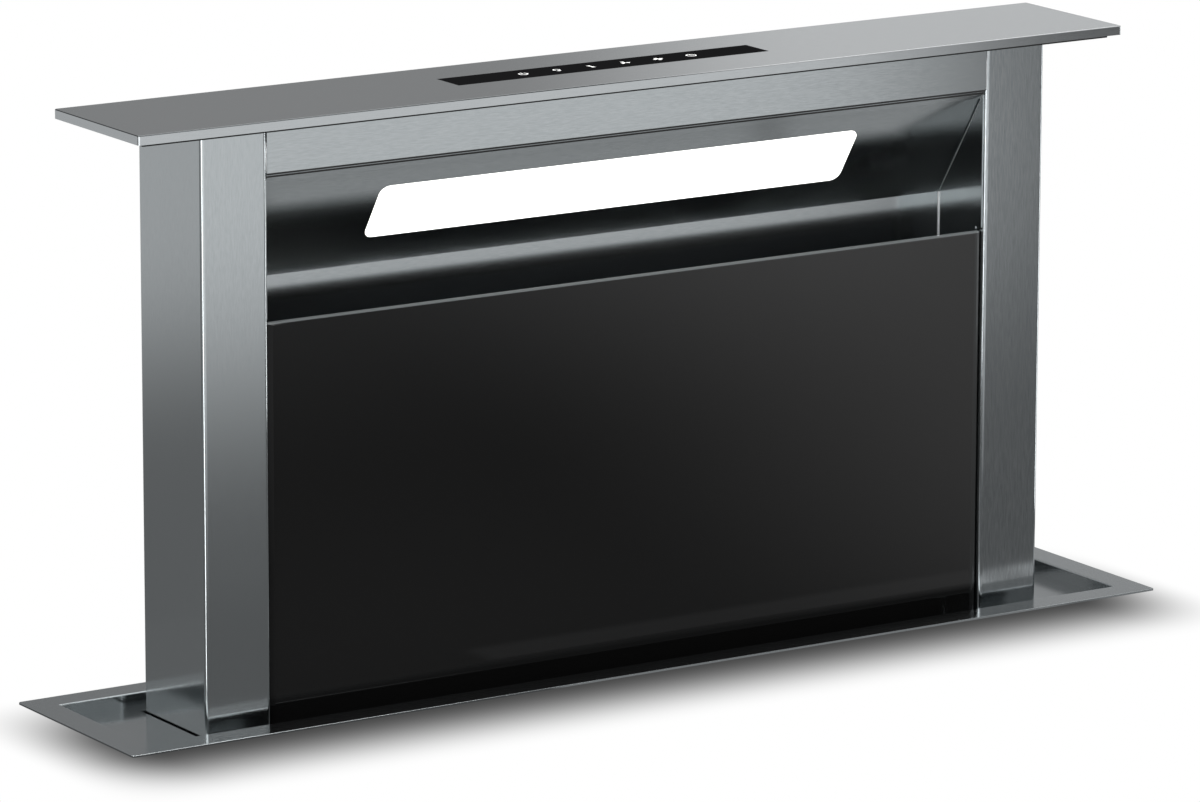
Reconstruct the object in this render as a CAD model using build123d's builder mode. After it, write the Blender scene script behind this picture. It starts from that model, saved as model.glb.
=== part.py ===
from build123d import *

import os
from math import atan2, cos, hypot, sin

# Pop-up downdraft vent, let into a worktop, drawn with its lift raised.
# Millimetres. X runs along the rim, -Y is the cooktop side, +Z is up.
# The origin is the centre of the worktop cut-out, on the worktop's top face.

# --- Rim let into the worktop ---
rim_width = 929.0
rim_depth = 177.0
rim_corner = 2.5
rim_sheet = 1.5
flange_width = 23.5
gasket_thickness = 1.0
gasket_inset = 3.0
recess_drop = 10.5
neck_height = 12.0
neck_gap = 2.0
rim_bend = 1.2
rim_edge_break = 0.4

# --- Top plate, flush in the rim when the lift is down ---
lift_travel = 453.0
plate_gap_x = 1.0
plate_gap_y = 1.35
plate_thickness = 7.2
plate_sheet = 1.5
plate_corner = 2.0
plate_edge_break = 0.7
seal_width = 4.0
seal_inset = 8.0
seal_gap = 0.5

# --- Touch strip ---
strip_length = 279.0
strip_width = 31.5
strip_thickness = 3.0
strip_x = 1.6
strip_y = 3.45
strip_gap = 0.2
strip_seat = 2.0
touch_box_wall = 4.0
touch_box_depth = 15.0

# --- Raised tower ---
plate_overhang_side = 61.45
plate_overhang_front = 18.05
plate_overhang_back = 15.15
column_width = 55.5
column_corner = 3.0
column_wall = 1.2
tower_sheet = 1.2
tower_tail = 72.0
header_height = 35.3
header_return = 14.0
lip_length = 9.0
pocket_depth = 60.4
pocket_corner_drop = 133.0
pocket_sheet_gap = 0.15
cheek_sheet = 0.8
frame_sheet = 2.0
frame_height = 50.0
frame_flange = 12.0

# --- Lamp in the slope of the intake pocket ---
lamp_length = 430.0
lamp_height = 52.0
lamp_corner = 8.0
lamp_place = 0.51
lamp_gap = 0.15
lens_thickness = 2.5
lamp_housing_wall = 3.5
lamp_housing_depth = 15.0
led_board_size = (420.0, 40.0, 1.6)

# --- Glass door in front of the filters ---
glass_gap = 1.0
glass_setback = 3.9
glass_thickness = 5.0
glass_drop = 155.6
glass_bottom = -8.0
glass_side_bevel = 5.0
glass_top_bevel = 2.0
glass_bevel_depth = 1.2
backing_sheet = 1.5
backing_border = 25.0
backing_inset = 10.0
door_pivot_set = 5.2
door_pivot_z = -4.0
door_pin_radius = 2.5
door_pin_gap = 0.06
door_ear = 3.5
door_ear_offset = 16.5
bracket_width = 14.5
catch_size = (19.0, 14.0, 20.0)
catch_gap = 0.3

# --- Grease filters in their cradle ---
cradle_sheet = 1.2
cradle_slant = 22.8
cradle_bottom_z = -10.0
cradle_top_drop = 188.5
cradle_lip = 8.0
filter_head = 22.84
filter_margin = 22.75
filter_thickness = 10.0
filter_border = 12.0
filter_gap = 0.3
mesh_thickness = 6.0
filter_pull = (44.0, 14.0)
trough_margin = 23.05
trough_lip = 2.0
trough_bottom = -32.0
trough_rim = -14.0
trough_sheet = 1.0

# --- Housing under the worktop ---
housing_margin = 30.0
housing_inset = 0.5
housing_sheet = 1.2
housing_fold = 15.0
housing_top_fold = 8.0
floor_upstand = 20.0
foot_height = 10.0
foot_width = 40.0
foot_sheet = 2.0
foot_inset = 70.0
foot_front = -215.0
foot_back = 105.0
foot_hole_radius = 3.5
foot_hole_inset = 20.0
worktop_thickness = 40.0
clamp_inset = 130.0
clamp_width = 30.0
clamp_sheet = 2.5
clamp_reach = 32.0
clamp_drop = 22.0
clamp_leg = 33.0
clamp_screw_radius = 3.0
clamp_screw_tail = 20.0
clamp_pad_radius = 9.0

# --- Lift drive ---
screw_offset = 21.45
screw_radius = 8.0
screw_gap = 0.06
beam_clearance = 18.0
beam_height = 32.0
beam_sheet = 2.0
beam_lip = 12.0
pulley_radius = 20.0
pulley_flange = 1.5
pulley_height = 16.0
pulley_drop = 8.0
belt_thickness = 2.0
belt_gap = 0.3
bearing_radius = 17.0
bearing_height = 12.0
bearing_foot = 3.0
upper_bearing_depth = 28.0
upper_bearing_height = 10.0
upper_bearing_gap = 1.5
nut_radius = 13.0
nut_height = 30.0
carriage_height = 44.0
carriage_wall = 3.0
carriage_gap = 0.8
rail_width = 22.0
rail_depth = 12.0
rail_wall = 2.0
rail_set = 13.5
shoe_gap = 0.5
motor_shaft_radius = 5.0
motor_shaft_grip = 10.0
gearhead_radius = 21.0
gearhead_height = 45.0
motor_radius = 19.0
motor_height = 58.0
motor_clearance = 12.0
switch_size = (18.0, 14.0, 26.0)
switch_set = 7.6

# --- Blower on the front of the housing ---
blower_z = -300.0
inlet_overlap = 3.0
scroll_depth = 104.0
scroll_wall = 1.5
scroll_radius = 104.0
scroll_step = 16.0
outlet_reach = 150.0
outlet_height = 114.0
tongue_radius = 14.0
wheel_clearance = 18.0
blade_depth = 14.0
wheel_gap = 8.0
wheel_back_gap = 22.0
wheel_plate = 2.0
wheel_ring = 2.0
blade_count = 36
blade_thickness = 1.2
blade_bow = 2.2
hub_radius = 14.0
hub_height = 18.0
fan_shaft_radius = 4.0
fan_shaft_gap = 0.06
fan_motor_radius = 46.0
fan_motor_depth = 58.0
fan_motor_flange = 60.0
flange_plate = 3.0
spigot_radius = 74.5
spigot_wall = 1.3
spigot_taper = 50.0
spigot_length = 55.0
spigot_gap = 4.0
flap_gap = 2.2
flap_sheet = 1.5
flap_offset = 6.0
flap_pin_radius = 2.0
flap_hub_radius = 4.5
flap_hub_length = 110.0
flap_pin_gap = 0.08

# --- Power box ---
power_box_size = (170.0, 46.0, 140.0)
power_box_inset = 115.0
power_box_top = -120.0
power_box_wall = 2.0
power_box_lid = 3.0
gland_radius = 9.0
gland_bore = 4.0
gland_length = 18.0

# --- Places worked out from the sizes above ---
flange_top = gasket_thickness + rim_sheet
ledge_top = flange_top - recess_drop
ledge_bottom = ledge_top - rim_sheet
recess_x = rim_width - 2 * flange_width
recess_y = rim_depth - 2 * flange_width
plate_length = recess_x - 2 * plate_gap_x
plate_width = recess_y - 2 * plate_gap_y
plate_top = flange_top + lift_travel
plate_bottom = plate_top - plate_thickness
plate_under = plate_top - plate_sheet
strip_bottom = plate_top - strip_thickness

column_outer = plate_length / 2 - plate_overhang_side
column_inner = column_outer - column_width
column_spacing = 2 * column_inner
column_x = (column_inner + column_outer) / 2
tower_front = -plate_width / 2 + plate_overhang_front
tower_back = plate_width / 2 - plate_overhang_back
column_depth = tower_back - tower_front
pocket_back = tower_front + pocket_depth
tower_bottom = -tower_tail
column_height = plate_bottom - tower_bottom
header_bottom = plate_bottom - header_height
pocket_corner = plate_top - pocket_corner_drop
slope_run = pocket_back - tower_front
slope_fall = header_bottom - pocket_corner
slope_length = hypot(slope_run, slope_fall)
down_y = slope_run / slope_length
down_z = -slope_fall / slope_length

glass_top = plate_top - glass_drop
glass_front = tower_front + glass_setback
glass_back = glass_front + glass_thickness
backing_back = glass_back + backing_sheet
glass_width = column_spacing - 2 * glass_gap
glass_height = glass_top - glass_bottom
door_pivot_y = backing_back + door_pivot_set

cradle_top_y = pocket_back - cradle_sheet
cradle_bottom_y = pocket_back - cradle_slant
cradle_top_z = plate_top - cradle_top_drop
cradle_rise = cradle_top_z - cradle_bottom_z
cradle_lean = cradle_top_y - cradle_bottom_y
cradle_length = hypot(cradle_rise, cradle_lean)
lean = atan2(cradle_lean, cradle_rise)
filter_length = cradle_length - filter_head
filter_width = column_inner - filter_margin - filter_gap
trough_length = 2 * (column_inner - trough_margin)
trough_back = cradle_bottom_y + trough_lip

screw_x = column_outer + screw_offset
screw_spacing = 2 * screw_x
beam_top = tower_bottom - lift_travel - beam_clearance
beam_bottom = beam_top - beam_height
beam_front = -pulley_radius - beam_lip
housing_x = screw_x + housing_margin
housing_width = 2 * housing_x
housing_y = recess_y / 2 - housing_inset
housing_bottom = beam_bottom - gearhead_height - motor_height - motor_clearance
foot_spacing = housing_width - 2 * foot_inset
clamp_spacing = housing_width - 2 * clamp_inset
power_box_x = power_box_inset - housing_x
housing_in_x = housing_x - housing_sheet
housing_in_y = housing_y - housing_sheet
housing_top = ledge_bottom
floor_top = housing_bottom + housing_sheet

pulley_top = beam_top - beam_sheet - pulley_drop
pulley_bottom = pulley_top - pulley_height
neck_bottom = ledge_bottom - neck_height
upper_bearing_bottom = neck_bottom - upper_bearing_gap
screw_top = upper_bearing_bottom + upper_bearing_height
screw_bottom = pulley_bottom - belt_gap
carriage_top = tower_bottom + carriage_height
carriage_outer = screw_x + nut_radius + carriage_wall
rail_x = housing_in_x - rail_depth
rail_y = tower_back - rail_set
switch_y = tower_front + switch_set

wheel_radius = scroll_radius - wheel_clearance
wheel_inner = wheel_radius - blade_depth
wheel_width = scroll_depth - wheel_gap - wheel_back_gap
inlet_radius = wheel_inner + inlet_overlap
volute_centers = (
    (-scroll_step / 2, blower_z + scroll_step / 2),
    (-scroll_step / 2, blower_z - scroll_step / 2),
    (scroll_step / 2, blower_z - scroll_step / 2),
)
scroll_bottom = blower_z - scroll_step / 2 - scroll_radius - 2 * scroll_step
outlet_top = scroll_bottom + outlet_height
outlet_z = scroll_bottom + outlet_height / 2
outlet_y = -housing_y - scroll_depth / 2
spigot_y = -housing_y - spigot_gap - spigot_radius
case_front = housing_y + scroll_depth
wheel_back = housing_y + wheel_gap
wheel_front = wheel_back + wheel_width
spigot_start = outlet_reach + spigot_taper
flap_x = spigot_start + spigot_length / 2
flap_axis_z = outlet_z + flap_offset

os.makedirs("parts", exist_ok=True)


def save(part, name):
    """Label a finished piece and write it under its own name."""
    part.label = name
    export_step(part, f"parts/{name}.step")


# Plane across the lamp's slope: its normal leaves the visible face
slope_middle = (
    0.0,
    tower_front + lamp_place * slope_run,
    header_bottom - lamp_place * slope_fall,
)
slope_plane = Plane(origin=slope_middle, x_dir=(1, 0, 0), z_dir=(0, down_z, -down_y))

# Planes of the leaning filters: face on, and in section
cradle_foot = (0.0, cradle_bottom_y, cradle_bottom_z)
filter_plane = Plane(origin=cradle_foot, x_dir=(1, 0, 0), z_dir=(0, -cos(lean), sin(lean)))
section_plane = Plane(origin=cradle_foot, x_dir=(0, -cos(lean), sin(lean)), z_dir=(-1, 0, 0))


# ------------------------------------------------------------------ rim

# Rim: flange on the worktop, recess for the top plate, neck round the tower
tower_mid_y = (tower_front + tower_back) / 2
neck_x = 2 * (column_outer + neck_gap)
neck_y = column_depth + 2 * neck_gap
with BuildPart() as rim_frame:
    with BuildSketch(Plane.XY.offset(gasket_thickness)):
        RectangleRounded(rim_width, rim_depth, rim_corner)
    extrude(amount=rim_sheet)
    with BuildSketch(Plane.XY.offset(ledge_bottom)):
        Rectangle(recess_x + 2 * rim_sheet, recess_y + 2 * rim_sheet)
    extrude(amount=recess_drop)
    with BuildSketch(Plane.XY.offset(neck_bottom)):
        with Locations((0, tower_mid_y)):
            Rectangle(neck_x + 2 * rim_sheet, neck_y + 2 * rim_sheet)
    extrude(amount=neck_height)
    with BuildSketch(Plane.XY.offset(ledge_top)):
        Rectangle(recess_x, recess_y)
    extrude(amount=recess_drop, mode=Mode.SUBTRACT)
    with BuildSketch(Plane.XY.offset(neck_bottom)):
        with Locations((0, tower_mid_y)):
            Rectangle(neck_x, neck_y)
    extrude(amount=neck_height + rim_sheet, mode=Mode.SUBTRACT)
    fillet(rim_frame.faces().sort_by(Axis.Z)[-1].inner_wires().edges(), rim_bend)
    fillet(rim_frame.faces().sort_by(Axis.Z)[-1].outer_wire().edges(), rim_edge_break)
save(rim_frame.part, "rim_frame")

# Foam gasket between flange and worktop
with BuildPart() as worktop_gasket:
    with BuildSketch():
        RectangleRounded(rim_width - 2 * gasket_inset, rim_depth - 2 * gasket_inset, rim_corner)
        Rectangle(recess_x + 4 * rim_sheet, recess_y + 4 * rim_sheet, mode=Mode.SUBTRACT)
    extrude(amount=gasket_thickness)
save(worktop_gasket.part, "worktop_gasket")


# ------------------------------------------------------------------ housing

# Front sheet, with the blower's inlet hole
fold_span = housing_width - 2 * (housing_sheet + housing_fold) - 2 * housing_sheet
with BuildPart() as housing_front:
    with BuildSketch(Plane.XZ.offset(housing_in_y)):
        with Locations((0, (housing_top + housing_bottom) / 2)):
            Rectangle(housing_width, housing_top - housing_bottom)
        with Locations((0, blower_z)):
            Circle(inlet_radius, mode=Mode.SUBTRACT)
    extrude(amount=housing_sheet)
    with BuildSketch(Plane.XY.offset(housing_top)):
        with Locations((0, -housing_in_y)):
            Rectangle(fold_span, housing_top_fold, align=(Align.CENTER, Align.MIN))
    extrude(amount=-housing_sheet)
save(housing_front.part, "housing_front")

# Back sheet
with BuildPart() as housing_back:
    with BuildSketch(Plane.XZ.offset(-housing_y)):
        with Locations((0, (housing_top + housing_bottom) / 2)):
            Rectangle(housing_width, housing_top - housing_bottom)
    extrude(amount=housing_sheet)
    with BuildSketch(Plane.XY.offset(housing_top)):
        with Locations((0, housing_in_y)):
            Rectangle(fold_span, housing_top_fold, align=(Align.CENTER, Align.MAX))
    extrude(amount=-housing_sheet)
save(housing_back.part, "housing_back")

# Side sheets, folded into a channel behind the front and back sheets
for side, name in ((-1, "housing_left"), (1, "housing_right")):
    with BuildPart() as housing_side:
        with BuildSketch(Plane.XY.offset(floor_top)):
            with Locations((side * (housing_x - housing_fold / 2 - housing_sheet / 2), 0)):
                Rectangle(housing_fold + housing_sheet, 2 * housing_in_y)
            with Locations((side * (housing_x - housing_fold - housing_sheet), 0)):
                Rectangle(2 * housing_fold, 2 * (housing_in_y - housing_sheet), mode=Mode.SUBTRACT)
        extrude(amount=housing_top - floor_top)
    save(housing_side.part, name)

# Floor tray with upstands along front and back
with BuildPart() as housing_floor:
    with BuildSketch(Plane.XY.offset(housing_bottom)):
        Rectangle(2 * housing_in_x, 2 * housing_in_y)
    extrude(amount=housing_sheet)
    with BuildSketch(Plane.XY.offset(floor_top)):
        Rectangle(fold_span, 2 * housing_in_y)
        Rectangle(fold_span, 2 * (housing_in_y - housing_sheet), mode=Mode.SUBTRACT)
    extrude(amount=floor_upstand)
save(housing_floor.part, "housing_floor")

# Two floor rails with screw holes for the cabinet floor
foot_top = housing_bottom
foot_mid = (foot_front + foot_back) / 2
foot_length = foot_back - foot_front
with BuildPart() as foot_rails:
    with BuildSketch(Plane.XZ.offset(-foot_back)):
        with Locations((-foot_spacing / 2, foot_top), (foot_spacing / 2, foot_top)):
            Rectangle(foot_width, foot_height, align=(Align.CENTER, Align.MAX))
        with Locations(*((side * foot_spacing / 2, foot_top - foot_sheet) for side in (-1, 1))):
            Rectangle(
                foot_width - 2 * foot_sheet,
                foot_height,
                align=(Align.CENTER, Align.MAX),
                mode=Mode.SUBTRACT,
            )
    extrude(amount=foot_length)
    with BuildSketch(Plane.XY.offset(foot_top)):
        with Locations((0, foot_mid)):
            with GridLocations(foot_spacing, foot_length - 2 * foot_hole_inset, 2, 2):
                Circle(foot_hole_radius)
    extrude(amount=-foot_sheet, mode=Mode.SUBTRACT)
save(foot_rails.part, "foot_rails")

# Clamps that pull the rim down on the worktop, two in front and two behind
clamp_top = -worktop_thickness - clamp_drop
with BuildPart() as worktop_clamps:
    with BuildSketch(Plane.YZ.offset(clamp_spacing / 2)):
        with BuildLine():
            Polyline(
                (-housing_y, clamp_top - clamp_leg),
                (-housing_y, clamp_top),
                (-housing_y - clamp_reach, clamp_top),
            )
            offset(amount=clamp_sheet, side=Side.LEFT, kind=Kind.INTERSECTION)
        make_face()
    extrude(amount=clamp_width / 2, both=True)
    with BuildSketch(Plane.XY.offset(clamp_top)):
        with Locations((clamp_spacing / 2, -housing_y - clamp_reach / 2)):
            Circle(clamp_screw_radius)
    extrude(amount=-clamp_leg, mode=Mode.SUBTRACT)
    mirror(about=Plane.XZ)
    mirror(about=Plane.YZ)
save(worktop_clamps.part, "worktop_clamps")

# Their screws, each with a pad under the worktop
with BuildPart() as clamp_screws:
    with BuildSketch(Plane.XY.offset(clamp_top - clamp_screw_tail)):
        with GridLocations(clamp_spacing, 2 * (housing_y + clamp_reach / 2), 2, 2):
            Circle(clamp_screw_radius)
    extrude(amount=clamp_screw_tail + clamp_drop)
    with BuildSketch(Plane.XY.offset(-worktop_thickness - clamp_sheet)):
        with GridLocations(clamp_spacing, 2 * (housing_y + clamp_reach / 2), 2, 2):
            Circle(clamp_pad_radius)
    extrude(amount=clamp_sheet)
save(clamp_screws.part, "clamp_screws")


# ------------------------------------------------------------------ lift drive

# Channel beam that carries the drive, open to the front
with BuildPart() as drive_beam:
    with BuildSketch(Plane.YZ):
        with BuildLine():
            Polyline(
                (beam_front, beam_top),
                (housing_in_y - housing_sheet, beam_top),
                (housing_in_y - housing_sheet, beam_bottom),
                (beam_front, beam_bottom),
            )
            offset(amount=beam_sheet, side=Side.RIGHT, kind=Kind.INTERSECTION)
        make_face()
    extrude(amount=housing_in_x, both=True)
    with BuildSketch(Plane.XY.offset(beam_top)):
        with Locations((-screw_x, 0), (screw_x, 0)):
            Circle(screw_radius + beam_sheet)
    extrude(amount=-beam_sheet, mode=Mode.SUBTRACT)
    with BuildSketch(Plane.XY.offset(beam_bottom)):
        with Locations((-screw_x, 0)):
            Circle(motor_shaft_radius + beam_sheet)
    extrude(amount=beam_sheet, mode=Mode.SUBTRACT)
save(drive_beam.part, "drive_beam")

# Channel rails on the side sheets, open towards the tower
with BuildPart() as guide_rails:
    with BuildSketch(Plane.XY.offset(beam_top)):
        with Locations((housing_in_x, rail_y)):
            Rectangle(rail_depth, rail_width, align=(Align.MAX, Align.CENTER))
        with Locations((housing_in_x - rail_wall, rail_y)):
            Rectangle(
                rail_depth,
                rail_width - 2 * rail_wall,
                align=(Align.MAX, Align.CENTER),
                mode=Mode.SUBTRACT,
            )
    extrude(amount=screw_top - beam_top)
    mirror(about=Plane.YZ)
save(guide_rails.part, "guide_rails")

# Footed bearings under the lead screws
with BuildPart() as lower_bearings:
    with BuildSketch(Plane.XY.offset(beam_top)):
        with Locations((-screw_x, 0), (screw_x, 0)):
            Rectangle(2 * bearing_radius + 2 * bearing_foot, 2 * bearing_radius + 4 * bearing_foot)
    extrude(amount=bearing_foot)
    with BuildSketch(Plane.XY.offset(beam_top)):
        with Locations((-screw_x, 0), (screw_x, 0)):
            Circle(bearing_radius)
    extrude(amount=bearing_height)
    with BuildSketch(Plane.XY.offset(beam_top)):
        with Locations((-screw_x, 0), (screw_x, 0)):
            Circle(screw_radius + screw_gap)
    extrude(amount=bearing_height, mode=Mode.SUBTRACT)
save(lower_bearings.part, "lower_bearings")

# Bearings at the screws' upper ends, bolted to the side sheets
bearing_reach = housing_in_x - screw_x + screw_radius + carriage_wall
with BuildPart() as upper_bearings:
    with BuildSketch(Plane.XY.offset(upper_bearing_bottom)):
        with Locations((housing_in_x, 0)):
            Rectangle(bearing_reach, upper_bearing_depth, align=(Align.MAX, Align.CENTER))
        with Locations((screw_x, 0)):
            Circle(screw_radius + screw_gap, mode=Mode.SUBTRACT)
    extrude(amount=upper_bearing_height)
    fillet(upper_bearings.edges().filter_by(Axis.Z).group_by(Axis.X)[0], carriage_wall)
    mirror(about=Plane.YZ)
save(upper_bearings.part, "upper_bearings")

# Lead screws; the left one is bored for the motor's shaft
for side, name in ((-1, "lead_screw_left"), (1, "lead_screw_right")):
    with BuildPart() as lead_screw:
        with BuildSketch(Plane.XY.offset(screw_bottom)):
            with Locations((side * screw_x, 0)):
                Circle(screw_radius)
        extrude(amount=screw_top - screw_bottom)
        chamfer(lead_screw.edges().group_by(Axis.Z)[-1], pulley_flange)
        if side < 0:
            with BuildSketch(Plane.XY.offset(screw_bottom)):
                with Locations((-screw_x, 0)):
                    Circle(motor_shaft_radius + screw_gap)
            extrude(amount=motor_shaft_grip, mode=Mode.SUBTRACT)
    save(lead_screw.part, name)

# Flanged belt pulleys, one on each screw
for side, name in ((-1, "screw_pulley_left"), (1, "screw_pulley_right")):
    with BuildPart() as screw_pulley:
        with BuildSketch(Plane.XY.offset(pulley_bottom)):
            with Locations((side * screw_x, 0)):
                Circle(pulley_radius)
        extrude(amount=pulley_height)
        with BuildSketch(Plane.XY.offset(pulley_bottom)):
            with Locations((side * screw_x, 0)):
                Circle(pulley_radius + belt_gap + belt_thickness)
        extrude(amount=pulley_flange)
        with BuildSketch(Plane.XY.offset(pulley_top)):
            with Locations((side * screw_x, 0)):
                Circle(pulley_radius + belt_gap + belt_thickness)
        extrude(amount=-pulley_flange)
        with BuildSketch(Plane.XY.offset(pulley_bottom)):
            with Locations((side * screw_x, 0)):
                Circle(screw_radius)
        extrude(amount=pulley_height, mode=Mode.SUBTRACT)
    save(screw_pulley.part, name)

# Belt that keeps the two screws in step
with BuildPart() as timing_belt:
    with BuildSketch(Plane.XY.offset(pulley_bottom + pulley_flange + belt_gap)):
        SlotCenterToCenter(screw_spacing, 2 * (pulley_radius + belt_gap + belt_thickness))
        SlotCenterToCenter(screw_spacing, 2 * (pulley_radius + belt_gap), mode=Mode.SUBTRACT)
    extrude(amount=pulley_height - 2 * pulley_flange - 2 * belt_gap)
save(timing_belt.part, "timing_belt")

# Gear motor hung under the beam, its shaft up in the left screw
shaft_top = screw_bottom + motor_shaft_grip - belt_gap
with BuildPart() as lift_motor:
    with BuildSketch(Plane.XY.offset(beam_bottom)):
        with Locations((-screw_x, 0)):
            Rectangle(2 * gearhead_radius, 2 * gearhead_radius)
    extrude(amount=-gearhead_height)
    fillet(lift_motor.edges().filter_by(Axis.Z), 2 * carriage_wall)
    with BuildSketch(Plane.XY.offset(beam_bottom - gearhead_height)):
        with Locations((-screw_x, 0)):
            Circle(motor_radius)
    extrude(amount=-motor_height)
    fillet(lift_motor.edges().group_by(Axis.Z)[0], carriage_wall)
    with BuildSketch(Plane.XY.offset(beam_bottom)):
        with Locations((-screw_x, 0)):
            Circle(motor_shaft_radius)
    extrude(amount=shaft_top - beam_bottom)
save(lift_motor.part, "lift_motor")

# Limit switches beside the path of the right carriage, one at each end
switch_upper = carriage_top - switch_size[2]
switch_lower = tower_bottom - lift_travel
with BuildPart() as limit_switches:
    for switch_bottom in (switch_upper, switch_lower):
        with BuildSketch(Plane.XY.offset(switch_bottom)):
            with Locations((housing_in_x, switch_y)):
                Rectangle(switch_size[0], switch_size[1], align=(Align.MAX, Align.CENTER))
        extrude(amount=switch_size[2])
save(limit_switches.part, "limit_switches")


# ------------------------------------------------------------------ blower


def draw_volute(inset, end_x):
    """Spiral outline of three quarter arcs, a tongue and a straight outlet."""
    centers = volute_centers
    first = scroll_radius - inset
    CenterArc(centers[0], first, 0, 90)
    CenterArc(centers[1], first + scroll_step, 90, 90)
    CenterArc(centers[2], first + 2 * scroll_step, 180, 90)
    top = outlet_top - inset
    right = centers[0][0] + first
    radius = tongue_radius + inset
    Line((centers[2][0], scroll_bottom + inset), (end_x, scroll_bottom + inset))
    Line((end_x, scroll_bottom + inset), (end_x, top))
    Line((end_x, top), (right + radius, top))
    CenterArc((right + radius, top + radius), radius, 270, -90)
    Line((right, top + radius), (right, centers[0][1]))


# Scroll case with the inlet-side plate
with BuildPart() as scroll_case:
    with BuildSketch(Plane.XZ.offset(housing_y)):
        with BuildLine():
            draw_volute(0, outlet_reach)
        make_face()
    extrude(amount=scroll_depth)
    with BuildSketch(Plane.XZ.offset(housing_y + scroll_wall)):
        with BuildLine():
            draw_volute(scroll_wall, outlet_reach + scroll_wall)
        make_face()
    extrude(amount=scroll_depth, mode=Mode.SUBTRACT)
    with BuildSketch(Plane.XZ.offset(housing_y)):
        with Locations((0, blower_z)):
            Circle(inlet_radius)
    extrude(amount=scroll_wall, mode=Mode.SUBTRACT)
save(scroll_case.part, "scroll_case")

# Motor-side cover of the scroll
with BuildPart() as scroll_cover:
    with BuildSketch(Plane.XZ.offset(case_front)):
        with BuildLine():
            draw_volute(0, outlet_reach)
        make_face()
        with Locations((0, blower_z)):
            Circle(hub_radius, mode=Mode.SUBTRACT)
    extrude(amount=scroll_wall)
save(scroll_cover.part, "scroll_cover")

# Motor on the cover; its hollow nose takes the fan shaft
with BuildPart() as blower_motor:
    with BuildSketch(Plane.XZ.offset(case_front + scroll_wall)):
        with Locations((0, blower_z)):
            Circle(fan_motor_flange)
    extrude(amount=flange_plate)
    with BuildSketch(Plane.XZ.offset(case_front + scroll_wall)):
        with Locations((0, blower_z)):
            Circle(fan_motor_radius)
    extrude(amount=fan_motor_depth)
    fillet(blower_motor.edges().group_by(Axis.Y)[0], tongue_radius / 2)
    with BuildSketch(Plane.XZ.offset(case_front + scroll_wall)):
        with Locations((0, blower_z)):
            Circle(fan_shaft_radius + fan_shaft_gap)
    extrude(amount=fan_motor_depth / 2, mode=Mode.SUBTRACT)
save(blower_motor.part, "blower_motor")

# Wheel: back plate with hub and shaft, forward-curved blades, front ring
with BuildPart() as impeller:
    with BuildSketch(Plane.XZ.offset(wheel_front - wheel_plate)):
        with Locations((0, blower_z)):
            Circle(wheel_radius)
    extrude(amount=wheel_plate)
    with BuildSketch(Plane.XZ.offset(wheel_front - hub_height)):
        with Locations((0, blower_z)):
            Circle(hub_radius - fan_shaft_radius)
    extrude(amount=hub_height)
    with BuildSketch(Plane.XZ.offset(wheel_front - hub_height)):
        with Locations((0, blower_z)):
            Circle(fan_shaft_radius)
    extrude(amount=case_front + fan_motor_depth / 3 - wheel_front + hub_height)
    with BuildSketch(Plane.XZ.offset(wheel_back)):
        with Locations((0, blower_z)):
            Circle(wheel_radius)
            Circle(wheel_inner, mode=Mode.SUBTRACT)
    extrude(amount=wheel_ring)
    with BuildSketch(Plane.XZ.offset(wheel_back + wheel_ring)):
        with Locations((0, blower_z)):
            with PolarLocations(0, blade_count):
                with BuildLine(mode=Mode.PRIVATE) as blade:
                    inner = ThreePointArc(
                        (wheel_inner, 0),
                        ((wheel_inner + wheel_radius) / 2, -blade_bow),
                        (wheel_radius - wheel_ring / 2, blade_bow),
                    )
                    outer = ThreePointArc(
                        (wheel_inner, blade_thickness),
                        ((wheel_inner + wheel_radius) / 2, blade_thickness - blade_bow),
                        (wheel_radius - wheel_ring / 2, blade_bow + blade_thickness),
                    )
                    Line(inner @ 0, outer @ 0)
                    Line(inner @ 1, outer @ 1)
                add(make_face(blade.line, mode=Mode.PRIVATE))
    extrude(amount=wheel_width - wheel_plate - wheel_ring)
save(impeller.part, "impeller")

# Outlet: from the scroll's mouth to a round spigot for the duct
with BuildPart() as outlet_spigot:
    with BuildSketch(Plane.YZ.offset(outlet_reach)):
        with Locations((outlet_y, outlet_z)):
            Rectangle(scroll_depth, outlet_height)
    with BuildSketch(Plane.YZ.offset(spigot_start)):
        with Locations((spigot_y, outlet_z)):
            Circle(spigot_radius)
    loft()
    with BuildSketch(Plane.YZ.offset(spigot_start)):
        with Locations((spigot_y, outlet_z)):
            Circle(spigot_radius)
    extrude(amount=spigot_length)
    with BuildSketch(Plane.YZ.offset(outlet_reach)):
        with Locations((outlet_y, outlet_z)):
            Rectangle(scroll_depth - 2 * spigot_wall, outlet_height - 2 * spigot_wall)
    with BuildSketch(Plane.YZ.offset(spigot_start)):
        with Locations((spigot_y, outlet_z)):
            Circle(spigot_radius - spigot_wall)
    loft(mode=Mode.SUBTRACT)
    with BuildSketch(Plane.YZ.offset(spigot_start)):
        with Locations((spigot_y, outlet_z)):
            Circle(spigot_radius - spigot_wall)
    extrude(amount=spigot_length, mode=Mode.SUBTRACT)
    with BuildSketch(Plane.XZ.offset(-spigot_y)):
        with Locations((flap_x, flap_axis_z)):
            Circle(flap_pin_radius)
    extrude(amount=spigot_radius, both=True, mode=Mode.SUBTRACT)
save(outlet_spigot.part, "outlet_spigot")

# Pin across the spigot
flap_pin_length = 2 * (spigot_radius**2 - flap_offset**2) ** 0.5
with BuildPart() as flap_pin:
    with BuildSketch(Plane.XZ.offset(-spigot_y)):
        with Locations((flap_x, flap_axis_z)):
            Circle(flap_pin_radius)
    extrude(amount=flap_pin_length / 2, both=True)
save(flap_pin.part, "flap_pin")

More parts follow.
